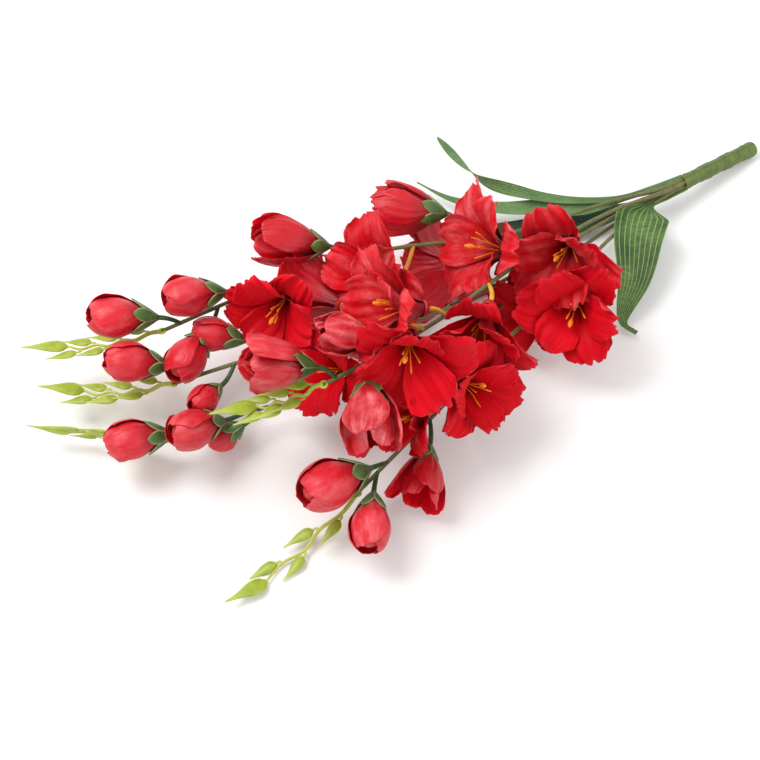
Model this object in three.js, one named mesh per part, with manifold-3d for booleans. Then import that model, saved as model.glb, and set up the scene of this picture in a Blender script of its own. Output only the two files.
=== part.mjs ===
// An artificial gladiolus bunch, lying on a table: five wire spikes of silk florets, whose lower
// ends are taped into one stem. Millimetres, +Z up. The taped stem points along +X and the tips of
// the spikes along -X. The surface that the bunch lies on is the plane z = 0.

import * as THREE from 'three';
import Module from 'manifold-3d';

const wasm = await Module();
wasm.setup();

// ---- Driving dimensions ----

const PLAN_CENTRE = [63.3, 25.5, 0.3]; // the middle of the bunch in the layout below: the part's origin
const CLEARANCE = 0.35; // gap kept between neighbouring pieces
const BLADE = 0.8; // thickness of a petal, a sepal or a leaf
const FINEST = 0.02; // edges closer than this to a straight run are dropped
const TOUCH = 0.004; // a shared volume that two pieces may have

const TABLE = { bendsBelow: 14, lowest: 0.6 }; // soft pieces bend to lie along the table

const STEM = {
  cutEnd: [375, 55, 6],
  tapeEnd: [296, 46, 19.5],
  tapeRadius: 5.8,
  tapeLump: 0.25,
  tapeLumps: 21, // radians of their wave over the tape's whole length
  boreRadius: 4.85,
  endWall: 1.2,
  ringRadius: 2.85, // the five wires lie in a ring
  wireRadius: 1.4,
  freeRun: 20, // the wires run on straight this far past the tape
};

// A side stalk leaves its wire `run` below its cup and comes into the cup along the last `ease`.
const STALK = { radius: 1.2, run: 14, ease: 8, steps: 2 };
const REACH = { bud: 13, goblet: 13, bloom: 15 }; // from the wire's axis to a floret's cup

const FLORET_MIDDLE = 30; // height of the middle of a floret above its cup

// Profiles are points [height, radius] in a floret's own frame, whose height 0 is at its cup.
const COLLAR = [[0, 1.6], [2.6, 3]]; // behind an open bloom
const COLLAR_SIDES = 5;
const CALYX = {
  sepals: 3,
  base: [0, 2],
  waist: [3, 5.6],
  notch: [9, 9.4],
  point: [20, 15.8],
  floor: [4.2, 4.8],
};

const BUD = {
  outline: [[4.7, 3.4], [9.5, 6.6], [16, 10.4], [28, 15.2], [40, 13], [48.5, 5]],
  petals: 3,
  lap: 0.14, // each petal's edge stands this share of the radius over the next
  twist: 0.35,
  sides: 9,
};

// A petal leaves the floret's axis at angles given at its root, its middle and its edge.
const PETALS = {
  bloom: {
    core: [[3, 5.4], [6.5, 6]],
    root: [4, 3],
    length: 59,
    width: 38,
    cup: [45, 80],
    angles: [12, 36, 95],
    vary: [1, 8, 20],
    outer: [1, 6, 8],
    wave: 3,
    columns: 2,
  },
  goblet: {
    core: [[4.7, 3.4], [9.5, 6.8]],
    root: [7, 2.6],
    length: 48,
    width: 38,
    cup: [16, 21],
    angles: [36, 10, -14],
    vary: [2, 4, 6],
    outer: [8, 6, 12],
    wave: 1.5,
    columns: 2,
  },
};
const PETAL_OUTLINE = { rootShare: 0.22, fullAt: 0.7, roundFrom: 0.72, roundOver: 0.4, tipArc: 0.1 };
const LAYER_GAP = { root: 1.5, spread: 1.2 }; // from the inner three petals out to the outer three
const SPLAY_SHARE = [0, 0.4, 1]; // of a floret's own splay, at a petal's root, middle and edge
const PETAL_SECTOR = 0.98; // radians that a petal reaches round the axis, at most, from its middle

const STAMENS = { filaments: 3, radius: 0.75, root: 9, tips: 33, tipsVary: 5, spread: 7 };
const STYLE = [[6.9, 1.4], [36, 0.8], [40, 1.6], [42, 0.8]]; // from its foot to its club

const TIP = {
  seat: 0.8,
  stalkRadius: 1.1,
  stalkTaper: 0.25,
  zigzag: 1.7,
  endRoom: 33, // kept at the end for the last bud
  budRoot: 1.5, // a bud starts this far below its knee
  budLength: 21,
  budWidth: 3.9,
  budDepth: 1.5,
  budLean: 24, // degrees to the side
  budEnds: 0.12, // the width that is left at a bud's ends
  grown: [0.9, 1.05, 1.6], // sizes of the lowest bud, the highest one and the one at the end
};

// ---- Layout ----
// A spike's route is the line of its wire beyond the tape. `ring` is its place in the taped ring, in
// degrees from the top towards the back. A floret sits `along` the wire from the tape's end. `side`
// is where its cup lies round the wire, `turn` and `lean` where it faces: all in degrees, with turn
// and side counted from the top towards the back, and lean from the wire's own direction. `spin`
// turns it about its own axis, and is picked by chance where it isn't given. `splay` opens its petals
// by so many degrees. A tip has so many `buds`, is turned by `roll` about its own line, and
// hangs below it by `sag` at its middle.

const SPIKES = [
  {
    name: 'a',
    ring: 36,
    route: [[222, 48, 38], [122, 52, 56], [49, 76, 62], [-6, 91, 62], [-70, 95, 62], [-135, 98, 60]],
    tip: { end: [-228, 143, 52], roll: 15, sag: 11, buds: 7 },
    florets: [
      { kind: 'bud', along: 442, side: 15, turn: 46, lean: 24, size: 1.05 },
      { kind: 'bud', along: 412, side: -125, turn: -80, lean: 35 },
      { kind: 'bud', along: 390, side: 0, turn: 20, lean: 20 },
      { kind: 'bloom', along: 347, side: -80, turn: -60, lean: 46, size: 0.86, spin: 80 },
      { kind: 'goblet', along: 307, side: 20, turn: 38, lean: 21, size: 1.05, splay: -20, spin: 80 },
      { kind: 'bloom', along: 259, side: -125, turn: -33, lean: 47, reach: 21, spin: 30 },
      { kind: 'goblet', along: 218, side: 50, turn: 120, lean: 30, size: 1.08, reach: 21 },
      { kind: 'bloom', along: 202, side: -125, turn: 150, lean: 65, reach: 17, spin: 40 },
    ],
  },
  {
    name: 'b',
    ring: 108,
    route: [[210, 38, 31], [94, 22, 44], [11, 25, 46], [-52, 47, 46], [-99, 57, 44], [-144, 65, 42]],
    tip: { end: [-230, 117, 38], roll: 10, sag: 14, buds: 7 },
    florets: [
      { kind: 'bud', along: 449, side: 40, turn: 20, lean: 30 },
      { kind: 'bud', along: 418, side: -100, turn: -55, lean: 40, size: 0.7 },
      { kind: 'bud', along: 391, side: 55, turn: 60, lean: 30, size: 0.85 },
      { kind: 'bloom', along: 318, side: 55, turn: 120, lean: 50, reach: 22, spin: 110 },
    ],
  },
  {
    name: 'c',
    ring: 180,
    route: [[210, 35, 23], [88, 9, 30], [5, 1, 30], [-55, 12, 28], [-105, 26, 26], [-162, 33, 24]],
    tip: { end: [-249, 98, 22], roll: 80, sag: 2, buds: 7 },
    florets: [
      { kind: 'bud', along: 466, side: -10, turn: 54, lean: 13, size: 1.0 },
      { kind: 'bud', along: 428, side: -30, turn: -21, lean: 31 },
      { kind: 'bud', along: 416, side: -65, turn: 165, lean: 40, size: 0.7 },
      { kind: 'bloom', along: 331, side: 30, turn: -29, lean: 46, size: 0.78, spin: 40 },
      { kind: 'bloom', along: 165, side: -115, turn: -6, lean: 25, size: 0.8, reach: 17, spin: 0 },
    ],
  },
  {
    name: 'd',
    ring: -36,
    route: [[222, 36, 44], [160, 23, 64], [101, 9, 78], [27, -9, 88], [-27, -15, 90], [-64, -15, 88]],
    tip: { end: [-140, 11, 78], roll: 0, sag: 11, buds: 7 },
    florets: [
      { kind: 'goblet', along: 381, side: 40, turn: 42, lean: 32, size: 0.97, splay: -18 },
      { kind: 'goblet', along: 349, side: -60, turn: -91, lean: 64, size: 1.08, splay: -12, spin: 100 },
      { kind: 'goblet', along: 332, side: 15, turn: 40, lean: 36, size: 0.85, splay: -16, spin: 60 },
      { kind: 'bloom', along: 309, side: -8, turn: -71, lean: 52, size: 0.96, splay: 2, spin: 30 },
      { kind: 'bloom', along: 288, side: 15, turn: 43, lean: 29, splay: -12, spin: 30 },
      { kind: 'bloom', along: 244, side: -70, turn: -102, lean: 29, size: 0.95, splay: -8, spin: 100 },
      { kind: 'bloom', along: 179, side: 130, turn: 49, lean: 34, size: 1.0, reach: 20, splay: 4, spin: 30 },
      { kind: 'bloom', along: 150, side: -50, turn: -65, lean: 23, splay: -8, spin: 10 },
    ],
  },
  {
    name: 'e',
    ring: -108,
    route: [[212, 24, 32], [128, -9, 42], [64, -27, 42], [11, -46, 38], [-43, -62, 31], [-70, -70, 27]],
    tip: { end: [-185, -92, 10], roll: 180, sag: 14, buds: 5 },
    florets: [
      { kind: 'bud', along: 381, side: -55, turn: -69, lean: 42 },
      { kind: 'bud', along: 371, side: 5, turn: 28, lean: 28, size: 1.22 },
      { kind: 'goblet', along: 327, side: -90, turn: -90, lean: 31, size: 0.84, splay: 14, spin: 60 },
      { kind: 'bloom', along: 306, side: -10, turn: 23, lean: 39, size: 0.82, splay: -15, spin: 110 },
      { kind: 'bloom', along: 283, side: 10, turn: -59, lean: 83, size: 0.84, splay: -8, spin: 30 },
      { kind: 'bloom', along: 164, side: -70, turn: -35, lean: 35, size: 0.95, splay: -10, spin: 80 },
    ],
  },
];

// A leaf's `rolls` are its turns about its own line, at its root and at its tip, in degrees, and it
// goes from one to the other between the two fractions `turns` of its length. It is a narrow neck
// to the fraction `neck`, and swells from there to the fraction `fullAt`. Two powers, `taper`, give
// the curve of its edge from there to its tip.
const LEAVES = [
  {
    name: 'leaf_twisted',
    route: [
      [295, 49.5, 23.1],
      [269, 50, 26],
      [236, 54, 28],
      [199, 72, 29],
      [171, 94, 32],
      [150, 123, 33],
      [140, 172, 38],
    ],
    width: 11,
    rolls: [15, 165],
    turns: [0.55, 0.95],
    neck: 0.2,
    fullAt: 0.8,
  },
  {
    name: 'leaf_straight',
    route: [
      [293, 51.5, 18.5],
      [263, 52, 21],
      [212, 61, 24],
      [186, 76, 24],
      [154, 97, 20],
      [129, 125, 15],
      [115, 160, 8],
    ],
    width: 15,
    rolls: [20, 10],
    neck: 0.2,
    fullAt: 0.45,
    taper: [1.2, 1],
  },
  {
    name: 'leaf_broad',
    route: [
      [294, 40.5, 18.5],
      [273, 38, 22],
      [249, 33, 29],
      [227, 15, 33],
      [205, -13, 22],
      [181, -36, 6],
      [185, -48, 3],
    ],
    width: 41,
    rolls: [0, 0],
    neck: 0.24,
    fullAt: 0.37,
    taper: [1.7, 1.2],
  },
  {
    name: 'leaf_under',
    route: [[294, 43.5, 12.5], [255, 49.5, 12.5], [205, 60, 9], [150, 82, 6], [100, 104, 4]],
    width: 22,
    rolls: [0, 0],
    neck: 0.1,
    fullAt: 0.45,
  },
];
const LEAF = { neckWidth: 3.6, fold: 0.16, tipShare: 0.1, taper: [2, 0.5], columns: 2, rows: 8 };

const COLOURS = {
  petals: 0xc4121f,
  stamens: 0xf08a1c,
  stems: 0x4b6532,
  tips: 0xa9c93a,
  leaves: 0x35703c,
  tape: 0x6b8040,
};

// ---- Numbers and directions ----

const UP = new THREE.Vector3(0, 0, 1);

const vec = ([x, y, z]) => new THREE.Vector3(x, y, z);
const radians = THREE.MathUtils.degToRad;
const mix = THREE.MathUtils.lerp;

function smooth(x) {
  const t = Math.min(Math.max(x, 0), 1);
  return t * t * (3 - 2 * t);
}

// A steady number in 0..1 for the pair i, j, so that each petal varies in the same way each time.
function noise(i, j) {
  const s = Math.sin(i * 12.9898 + j * 78.233) * 43758.5453;
  return s - Math.floor(s);
}

// A quadratic through three values at 0, a half and 1.
function through([start, middle, end], x) {
  return start * (1 - x) * (1 - 2 * x) + middle * 4 * x * (1 - x) + end * x * (2 * x - 1);
}

// The frame of a line at a point: along it, up from it, and to its back.
function lineFrame(along) {
  const up = UP.clone().addScaledVector(along, -UP.dot(along)).normalize();
  return { along, up, back: along.clone().cross(up) };
}

function roundOf(frame, degrees) {
  const angle = radians(degrees);
  return frame.up.clone().multiplyScalar(Math.cos(angle)).addScaledVector(frame.back, Math.sin(angle));
}

// Bends a point of a soft piece up, so that it lies along the table instead of under it.
function lay(point) {
  const room = TABLE.bendsBelow - TABLE.lowest;
  if (point.z < TABLE.bendsBelow) {
    point.z = TABLE.lowest + room * Math.exp((point.z - TABLE.bendsBelow) / room);
  }
  return point;
}

// ---- Solids ----

function solidOf(points, faces) {
  const vertProperties = new Float32Array(points.flatMap((p) => [p.x, p.y, p.z]));
  const triVerts = new Uint32Array(faces.flat());
  return new wasm.Manifold(new wasm.Mesh({ numProp: 3, vertProperties, triVerts }));
}

function joined(solids) {
  return wasm.Manifold.union(solids).simplify(FINEST);
}

// The one body that is left of a solid once loose scraps and sealed hollows are dropped.
function mainBody(solid) {
  const bodies = solid.decompose();
  return bodies.reduce((best, body) => (body.volume() > best.volume() ? body : best));
}

// Rings of points, closed by a fan at each end.
function ringedSolid(rings) {
  const sides = rings[0].length;
  const faces = [];
  for (let r = 0; r + 1 < rings.length; r += 1) {
    for (let s = 0; s < sides; s += 1) {
      const a = r * sides + s;
      const b = r * sides + ((s + 1) % sides);
      faces.push([a, b, b + sides], [a, b + sides, a + sides]);
    }
  }
  const last = (rings.length - 1) * sides;
  for (let s = 1; s + 1 < sides; s += 1) {
    faces.push([0, s + 1, s], [last, last + s, last + s + 1]);
  }
  return solidOf(rings.flat(), faces);
}

// A round limb along a curve. `radius` gives its size at each fraction of the way, `side` a direction
// that its sections are turned by, and `depth` is its thickness across that direction.
function limb(curve, { steps, sides, radius, side, depth = 1, clearance = 0 }) {
  const rings = [];
  for (let i = 0; i <= steps; i += 1) {
    const along = curve.getTangentAt(i / steps);
    const across = side.clone().addScaledVector(along, -side.dot(along)).normalize();
    const other = along.clone().cross(across);
    const centre = curve.getPointAt(i / steps);
    const end = i === 0 ? -1 : i === steps ? 1 : 0;
    centre.addScaledVector(along, end * clearance);
    const size = radius(i / steps) + clearance;
    const thick = radius(i / steps) * depth + clearance;
    const ring = [];
    for (let s = 0; s < sides; s += 1) {
      const angle = (2 * Math.PI * s) / sides;
      const point = centre.clone().addScaledVector(across, size * Math.cos(angle));
      ring.push(point.addScaledVector(other, thick * Math.sin(angle)));
    }
    rings.push(ring);
  }
  return ringedSolid(rings);
}

// A blade on each surface, which gives a point for u across it, from -1 to 1, and v along it, from 0
// to 1. Blades that stand in a ring share their edges up to the row `joinedRows`. Both faces are
// split into triangles alike.
function blades(surfaces, { columns, rows, joinedRows = -1, thickness }) {
  const points = surfaces.flatMap((surface) => bladePoints(surface, columns, rows, thickness));
  const indexOf = (s, r, c) => {
    const isShared = c === columns && r <= joinedRows;
    const sheet = isShared ? (s + 1) % surfaces.length : s;
    return 2 * ((sheet * (rows + 1) + r) * (columns + 1) + (isShared ? 0 : c));
  };
  const faces = [];
  surfaces.forEach((_, s) => {
    for (let r = 0; r <= joinedRows; r += 1) {
      const own = 2 * ((s * (rows + 1) + r) * (columns + 1) + columns);
      points[indexOf(s, r, columns)].lerp(points[own], 0.5);
      points[indexOf(s, r, columns) + 1].lerp(points[own + 1], 0.5);
    }
    for (let r = 0; r < rows; r += 1) {
      for (let c = 0; c < columns; c += 1) {
        const [a, b] = [indexOf(s, r, c), indexOf(s, r, c + 1)];
        const [d, e] = [indexOf(s, r + 1, c), indexOf(s, r + 1, c + 1)];
        faces.push([a, b, e], [a, e, d], [a + 1, e + 1, b + 1], [a + 1, d + 1, e + 1]);
      }
    }
    for (const [from, to] of edgeOf(columns, rows, Math.max(joinedRows, 0))) {
      const [a, b] = [indexOf(s, ...from), indexOf(s, ...to)];
      faces.push([a, a + 1, b + 1], [a, b + 1, b]);
    }
  });
  return solidOf(points, faces);
}

// The upper and the lower point of a blade at each place of its grid.
function bladePoints(surface, columns, rows, thickness) {
  const step = 0.02;
  const points = [];
  for (let r = 0; r <= rows; r += 1) {
    for (let c = 0; c <= columns; c += 1) {
      const u = (2 * c) / columns - 1;
      const v = r / rows;
      const across = surface(u + step, v).sub(surface(u - step, v));
      const along = surface(u, v + step).sub(surface(u, v - step));
      const normal = across.cross(along).normalize();
      points.push(surface(u, v).addScaledVector(normal, thickness / 2));
      points.push(surface(u, v).addScaledVector(normal, -thickness / 2));
    }
  }
  return points;
}

// The steps round a blade's open edge, each from one [row, column] to the next. Its sides are open
// from `freeFrom` on.
function edgeOf(columns, rows, freeFrom) {
  const steps = [];
  for (let c = 0; c < columns; c += 1) steps.push([[0, c], [0, c + 1]]);
  for (let r = freeFrom; r < rows; r += 1) steps.push([[r, columns], [r + 1, columns]]);
  for (let c = columns; c > 0; c -= 1) steps.push([[rows, c], [rows, c - 1]]);
  for (let r = rows; r > freeFrom; r -= 1) steps.push([[r, 0], [r - 1, 0]]);
  return steps;
}

// ---- Wires and where the florets sit on them ----

const stemAxis = vec(STEM.tapeEnd).sub(vec(STEM.cutEnd)).normalize();
const stemFrame = lineFrame(stemAxis);

function wireCurve(spike) {
  const ring = roundOf(stemFrame, spike.ring).multiplyScalar(STEM.ringRadius);
  const start = vec(STEM.cutEnd).addScaledVector(stemAxis, STEM.endWall + CLEARANCE).add(ring);
  const tape = vec(STEM.tapeEnd).add(ring);
  const free = tape.clone().addScaledVector(stemAxis, STEM.freeRun);
  const curve = new THREE.CatmullRomCurve3([start, tape, free, ...spike.route.map(vec)]);
  curve.arcLengthDivisions = 1000;
  return curve;
}

function stationOn(wire, along) {
  const bound = vec(STEM.tapeEnd).distanceTo(vec(STEM.cutEnd)) - STEM.endWall - CLEARANCE;
  const share = Math.min((bound + along) / wire.getLength(), 1);
  return { point: wire.getPointAt(share), frame: lineFrame(wire.getTangentAt(share)) };
}

// Where a floret sits and faces. Its own frame has its axis along `axis`.
function placeFloret(wire, spikeNumber, floret, number) {
  const size = floret.size ?? 1;
  const { point, frame } = stationOn(wire, floret.along);
  const reach = floret.reach ?? REACH[floret.kind];
  const base = point.clone().addScaledVector(roundOf(frame, floret.side), reach);
  const lean = radians(floret.lean);
  const axis = frame.along.clone().multiplyScalar(Math.cos(lean));
  axis.addScaledVector(roundOf(frame, floret.turn), Math.sin(lean));
  const right = frame.back.clone().addScaledVector(axis, -frame.back.dot(axis)).normalize();
  const forward = axis.clone().cross(right);
  const seed = spikeNumber * 10 + number;
  const spin = floret.spin ?? 120 * noise(seed, 0);
  const foot = stationOn(wire, floret.along - STALK.run).point;
  return { ...floret, size, base, foot, axis, right, forward, seed, spin };
}

// A point of a floret, from its height along the axis, its distance out and its angle round it.
function floretPoint(floret, height, out, angle) {
  const point = floret.base.clone().addScaledVector(floret.axis, height * floret.size);
  point.addScaledVector(floret.right, out * floret.size * Math.cos(angle));
  return point.addScaledVector(floret.forward, out * floret.size * Math.sin(angle));
}

function ringOf(floret, height, out, sides) {
  const ring = [];
  for (let s = 0; s < sides; s += 1) {
    ring.push(floretPoint(floret, height, out, radians(floret.spin) + (2 * Math.PI * s) / sides));
  }
  return ring;
}

function turned(floret, profile, sides, clearance) {
  const grow = clearance / floret.size;
  const rings = profile.map(([height, out], i) => {
    const end = i === 0 ? -1 : i === profile.length - 1 ? 1 : 0;
    return ringOf(floret, height + end * grow, out + grow, sides);
  });
  return ringedSolid(rings);
}

// ---- Stems ----

function wireSolid(wire, clearance) {
  return limb(wire, { steps: 11, sides: 5, radius: () => STEM.wireRadius, side: UP, clearance });
}

// Rings round a side stalk, turned so that the last one fits the floret's own frame.
function stalkRings(floret, sides, clearance) {
  const ease = floret.base.clone().addScaledVector(floret.axis, -STALK.ease);
  const curve = new THREE.QuadraticBezierCurve3(floret.foot, ease, floret.base);
  const rings = [];
  for (let i = 0; i < STALK.steps; i += 1) {
    const along = curve.getTangent(i / STALK.steps);
    const turn = new THREE.Quaternion().setFromUnitVectors(floret.axis, along);
    const centre = curve.getPoint(i / STALK.steps);
    const ring = ringOf(floret, 0, (STALK.radius + clearance) / floret.size, sides);
    rings.push(ring.map((point) => point.sub(floret.base).applyQuaternion(turn).add(centre)));
  }
  return rings;
}

// A stalk that ends in a cup whose rim rises in pointed sepals, round the foot of a bud.
function calyxSolid(floret, clearance) {
  const sides = 2 * CALYX.sepals;
  const grow = clearance / floret.size;
  const wall = (BLADE + 2 * clearance) / floret.size;
  const at = ([height, out], wider = grow, higher = 0) => {
    return ringOf(floret, height + higher, out + wider, sides);
  };
  const rim = (inwards) => {
    const notches = at(CALYX.notch, grow - inwards, grow);
    return at(CALYX.point, grow - inwards, grow).map((point, i) => lay(i % 2 ? notches[i] : point));
  };
  return ringedSolid([
    ...stalkRings(floret, sides, clearance),
    at(CALYX.base),
    at(CALYX.waist),
    rim(0),
    rim(wall),
    at(CALYX.floor, -grow, grow),
  ]);
}

function collarSolid(floret, clearance) {
  const [base, rim] = COLLAR.map(([height, out], i) => {
    const grow = clearance / floret.size;
    return ringOf(floret, height + i * grow, out + grow, COLLAR_SIDES);
  });
  return ringedSolid([...stalkRings(floret, COLLAR_SIDES, clearance), base, rim]);
}

function stemSolid(wire, florets, clearance) {
  const parts = [wireSolid(wire, clearance)];
  for (const floret of florets) {
    parts.push(floret.kind === 'bloom' ? collarSolid(floret, clearance) : calyxSolid(floret, clearance));
  }
  return joined(parts);
}

// ---- Tips ----

// A light green sprig: a zigzag stalk with flat lance-shaped buds to either side and one at its end.
function tipSolid(wire, tip, clearance) {
  const start = wire.getPointAt(1).addScaledVector(wire.getTangentAt(1), TIP.seat);
  const run = vec(tip.end).sub(start);
  const frame = lineFrame(run.clone().normalize());
  const side = roundOf(frame, 90 + tip.roll);
  const pitch = (run.length() - TIP.endRoom) / tip.buds;
  const knees = [start];
  for (let i = 1; i <= tip.buds; i += 1) {
    const knee = start.clone().addScaledVector(frame.along, i * pitch);
    knee.addScaledVector(UP, -tip.sag * Math.sin((Math.PI * i * pitch) / run.length()));
    knees.push(knee.addScaledVector(side, i % 2 ? TIP.zigzag : -TIP.zigzag));
  }
  const stalk = limb(new THREE.CatmullRomCurve3(knees), {
    steps: tip.buds,
    sides: 4,
    radius: (x) => TIP.stalkRadius * (1 - TIP.stalkTaper * x),
    side,
    clearance,
  });
  const [lowest, highest, last] = TIP.grown;
  const buds = knees.slice(1).map((knee, k) => {
    const isLast = k === tip.buds - 1;
    const way = isLast ? vec(tip.end).sub(knee).normalize() : frame.along.clone();
    const lean = isLast ? 0 : radians(k % 2 ? -TIP.budLean : TIP.budLean);
    way.multiplyScalar(Math.cos(lean)).addScaledVector(side, Math.sin(lean));
    const grown = isLast ? last : mix(lowest, highest, k / (tip.buds - 2));
    return tipBud(knee, way, side, grown, clearance);
  });
  return joined([stalk, ...buds]);
}

function tipBud(root, way, side, grown, clearance) {
  const from = root.clone().addScaledVector(way, -TIP.budRoot);
  const to = root.clone().addScaledVector(way, TIP.budLength * grown);
  const swell = (x) => TIP.budWidth * grown * Math.max(Math.sin(Math.PI * x), TIP.budEnds);
  return limb(new THREE.LineCurve3(from, to), {
    steps: 2,
    sides: 4,
    radius: swell,
    side,
    depth: TIP.budDepth / TIP.budWidth,
    clearance,
  });
}

// ---- Petals ----

// How far out and up a line goes that leaves the axis at the three angles, in degrees.
function profileOf(angles, length, share) {
  const steps = 12;
  const line = { out: 0, rise: 0, angle: radians(through(angles, share)) };
  for (let i = 0; i < steps; i += 1) {
    const angle = radians(through(angles, (share * (i + 0.5)) / steps));
    line.out += (Math.sin(angle) * share * length) / steps;
    line.rise += (Math.cos(angle) * share * length) / steps;
  }
  return line;
}

function petalHalfWidth(v) {
  const { rootShare, fullAt, roundFrom, roundOver } = PETAL_OUTLINE;
  const past = Math.max(0, v - roundFrom) / roundOver;
  return (rootShare + (1 - rootShare) * smooth(v / fullAt)) * Math.sqrt(Math.max(1 - past * past, 0.1));
}

// The surface of one petal of six: the first three are the inner layer, the rest the outer one.
function petalSurface(floret, index, clearance) {
  const shape = PETALS[floret.kind];
  const isOuter = index >= 3;
  const pick = (j) => noise(floret.seed, 1 + index * 7 + j) - 0.5;
  const turn = radians(floret.spin + 120 * index + (isOuter ? 60 : 0) + 5 * pick(0));
  // The inner petals only close from their shape, and the outer ones only open, so they don't cross.
  const open = pick(1) + (isOuter ? 0.5 : -0.5);
  const splay = floret.splay ?? 0;
  const more = shape.outer.map((angle, i) => (isOuter ? angle : 0) + SPLAY_SHARE[i] * splay);
  const angles = shape.angles.map((angle, i) => angle + shape.vary[i] * open + more[i]);
  const length = shape.length * (1 + 0.14 * pick(2));
  const halfWidth = (shape.width / 2) * (1 + 0.16 * pick(3));
  const twist = 10 * pick(4);
  const phase = 2 * Math.PI * pick(5);
  const cup = shape.cup[isOuter ? 1 : 0];
  return (u, v) => {
    const across = u * (1 + clearance / halfWidth);
    const reach = v * (1 - PETAL_OUTLINE.tipArc * u * u) * (1 + clearance / length);
    const line = profileOf(angles, length, reach);
    const gap = isOuter ? LAYER_GAP.root + LAYER_GAP.spread * smooth(3 * v) : 0;
    const out = shape.root[1] + gap + line.out;
    const bend = mix(out, cup, smooth(1.6 * reach - 0.3));
    const theta = (across * halfWidth * petalHalfWidth(v)) / bend;
    const ripple = shape.wave * u * u * v * v * Math.sin(2 * Math.PI * (1.2 * v + 0.4 * u) + phase);
    const rise = bend * (1 - Math.cos(theta)) + ripple + twist * u * v * v;
    const height = shape.root[0] + line.rise + rise * Math.sin(line.angle);
    const outward = out - rise * Math.cos(line.angle);
    const sideways = bend * Math.sin(theta);
    const round = Math.atan2(sideways, outward) / PETAL_SECTOR;
    const angle = turn + PETAL_SECTOR * Math.tanh(round);
    return lay(floretPoint(floret, height, Math.hypot(outward, sideways), angle));
  };
}

function petalSolids(floret, clearance) {
  const shape = PETALS[floret.kind];
  const grid = { columns: shape.columns, rows: 3, joinedRows: 1, thickness: BLADE + 2 * clearance };
  const petals = [0, 1, 2, 3, 4, 5].map((i) => petalSurface(floret, i, clearance));
  return joined([
    turned(floret, shape.core, 6, clearance),
    blades(petals.slice(0, 3), grid),
    blades(petals.slice(3), grid),
  ]);
}

// A closed bud: three petals wound over each other, each edge standing a little over the next.
function budSolid(floret, clearance) {
  const heights = BUD.outline.map(([height]) => height);
  const tall = heights[heights.length - 1] - heights[0];
  const rings = BUD.outline.map(([height, out], i) => {
    const end = i === 0 ? -1 : i === BUD.outline.length - 1 ? 1 : 0;
    const ring = [];
    for (let s = 0; s < BUD.sides; s += 1) {
      const turnShare = (BUD.petals * s) / BUD.sides + (BUD.twist * (height - heights[0])) / tall;
      const lapped = out * (1 - BUD.lap * (turnShare - Math.floor(turnShare)));
      const angle = (2 * Math.PI * s) / BUD.sides + radians(floret.spin);
      const lift = height + (end * clearance) / floret.size;
      ring.push(lay(floretPoint(floret, lift, lapped + clearance / floret.size, angle)));
    }
    return ring;
  });
  return ringedSolid(rings);
}

function floretSolid(floret, clearance) {
  return floret.kind === 'bud' ? budSolid(floret, clearance) : petalSolids(floret, clearance);
}

// ---- Stamens ----

function stamenSolid(floret, clearance) {
  const parts = [turned(floret, STYLE, 4, clearance)];
  for (let i = 0; i < STAMENS.filaments; i += 1) {
    const turn = radians(floret.spin + (360 * i) / STAMENS.filaments);
    const tip = STAMENS.tips - STAMENS.tipsVary * noise(floret.seed, 60 + i);
    const root = floretPoint(floret, STAMENS.root, 0, turn);
    const line = new THREE.LineCurve3(root, floretPoint(floret, tip, STAMENS.spread, turn));
    const radius = () => STAMENS.radius;
    parts.push(limb(line, { steps: 1, sides: 3, radius, side: floret.right, clearance }));
  }
  return joined(parts);
}

// ---- Leaves and tape ----

function leafSurface(leaf, clearance) {
  const curve = new THREE.CatmullRomCurve3(leaf.route.map(vec));
  const length = curve.getLength();
  return (u, v) => {
    const share = Math.min(Math.max(v, 0), 1);
    const frame = lineFrame(curve.getTangentAt(share));
    const point = curve.getPointAt(share).addScaledVector(frame.along, (v - share) * length);
    const [starts, ends] = leaf.turns ?? [0, 1];
    const roll = mix(leaf.rolls[0], leaf.rolls[1], smooth((share - starts) / (ends - starts)));
    const side = roundOf(frame, 90 - roll);
    const normal = roundOf(frame, -roll);
    const full = mix(LEAF.neckWidth, leaf.width, smooth((share - leaf.neck) / (leaf.fullAt - leaf.neck)));
    const past = Math.max(0, (share - leaf.fullAt) / (1 - leaf.fullAt));
    const [power, roundEnd] = leaf.taper ?? LEAF.taper;
    const narrow = Math.max(Math.max(1 - past ** power, 0) ** roundEnd, LEAF.tipShare);
    const half = (full / 2) * narrow + clearance;
    point.addScaledVector(side, u * half);
    return lay(point.addScaledVector(normal, Math.abs(u) * half * LEAF.fold));
  };
}

function leafSolid(leaf, clearance) {
  return blades([leafSurface(leaf, clearance)], { ...LEAF, thickness: BLADE + 2 * clearance });
}

function tapeSolid(clearance) {
  const start = vec(STEM.cutEnd);
  const end = vec(STEM.tapeEnd);
  const wound = limb(new THREE.LineCurve3(start, end), {
    steps: 9,
    sides: 10,
    radius: (x) => STEM.tapeRadius + STEM.tapeLump * Math.sin(STEM.tapeLumps * x),
    side: UP,
    clearance,
  });
  if (clearance > 0) return wound;
  const mouth = end.clone().add(stemAxis);
  const back = start.clone().addScaledVector(stemAxis, STEM.endWall);
  const bore = limb(new THREE.LineCurve3(back, mouth), {
    steps: 1,
    sides: 10,
    radius: () => STEM.boreRadius,
    side: UP,
  });
  return wound.subtract(bore);
}

// ---- The bunch ----

function boxOf(solid) {
  const { min, max } = solid.boundingBox();
  return new THREE.Box3(vec(min), vec(max));
}

function cutBack(solid, others) {
  return mainBody(others.reduce((left, other) => left.subtract(other), solid).simplify(FINEST));
}

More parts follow.
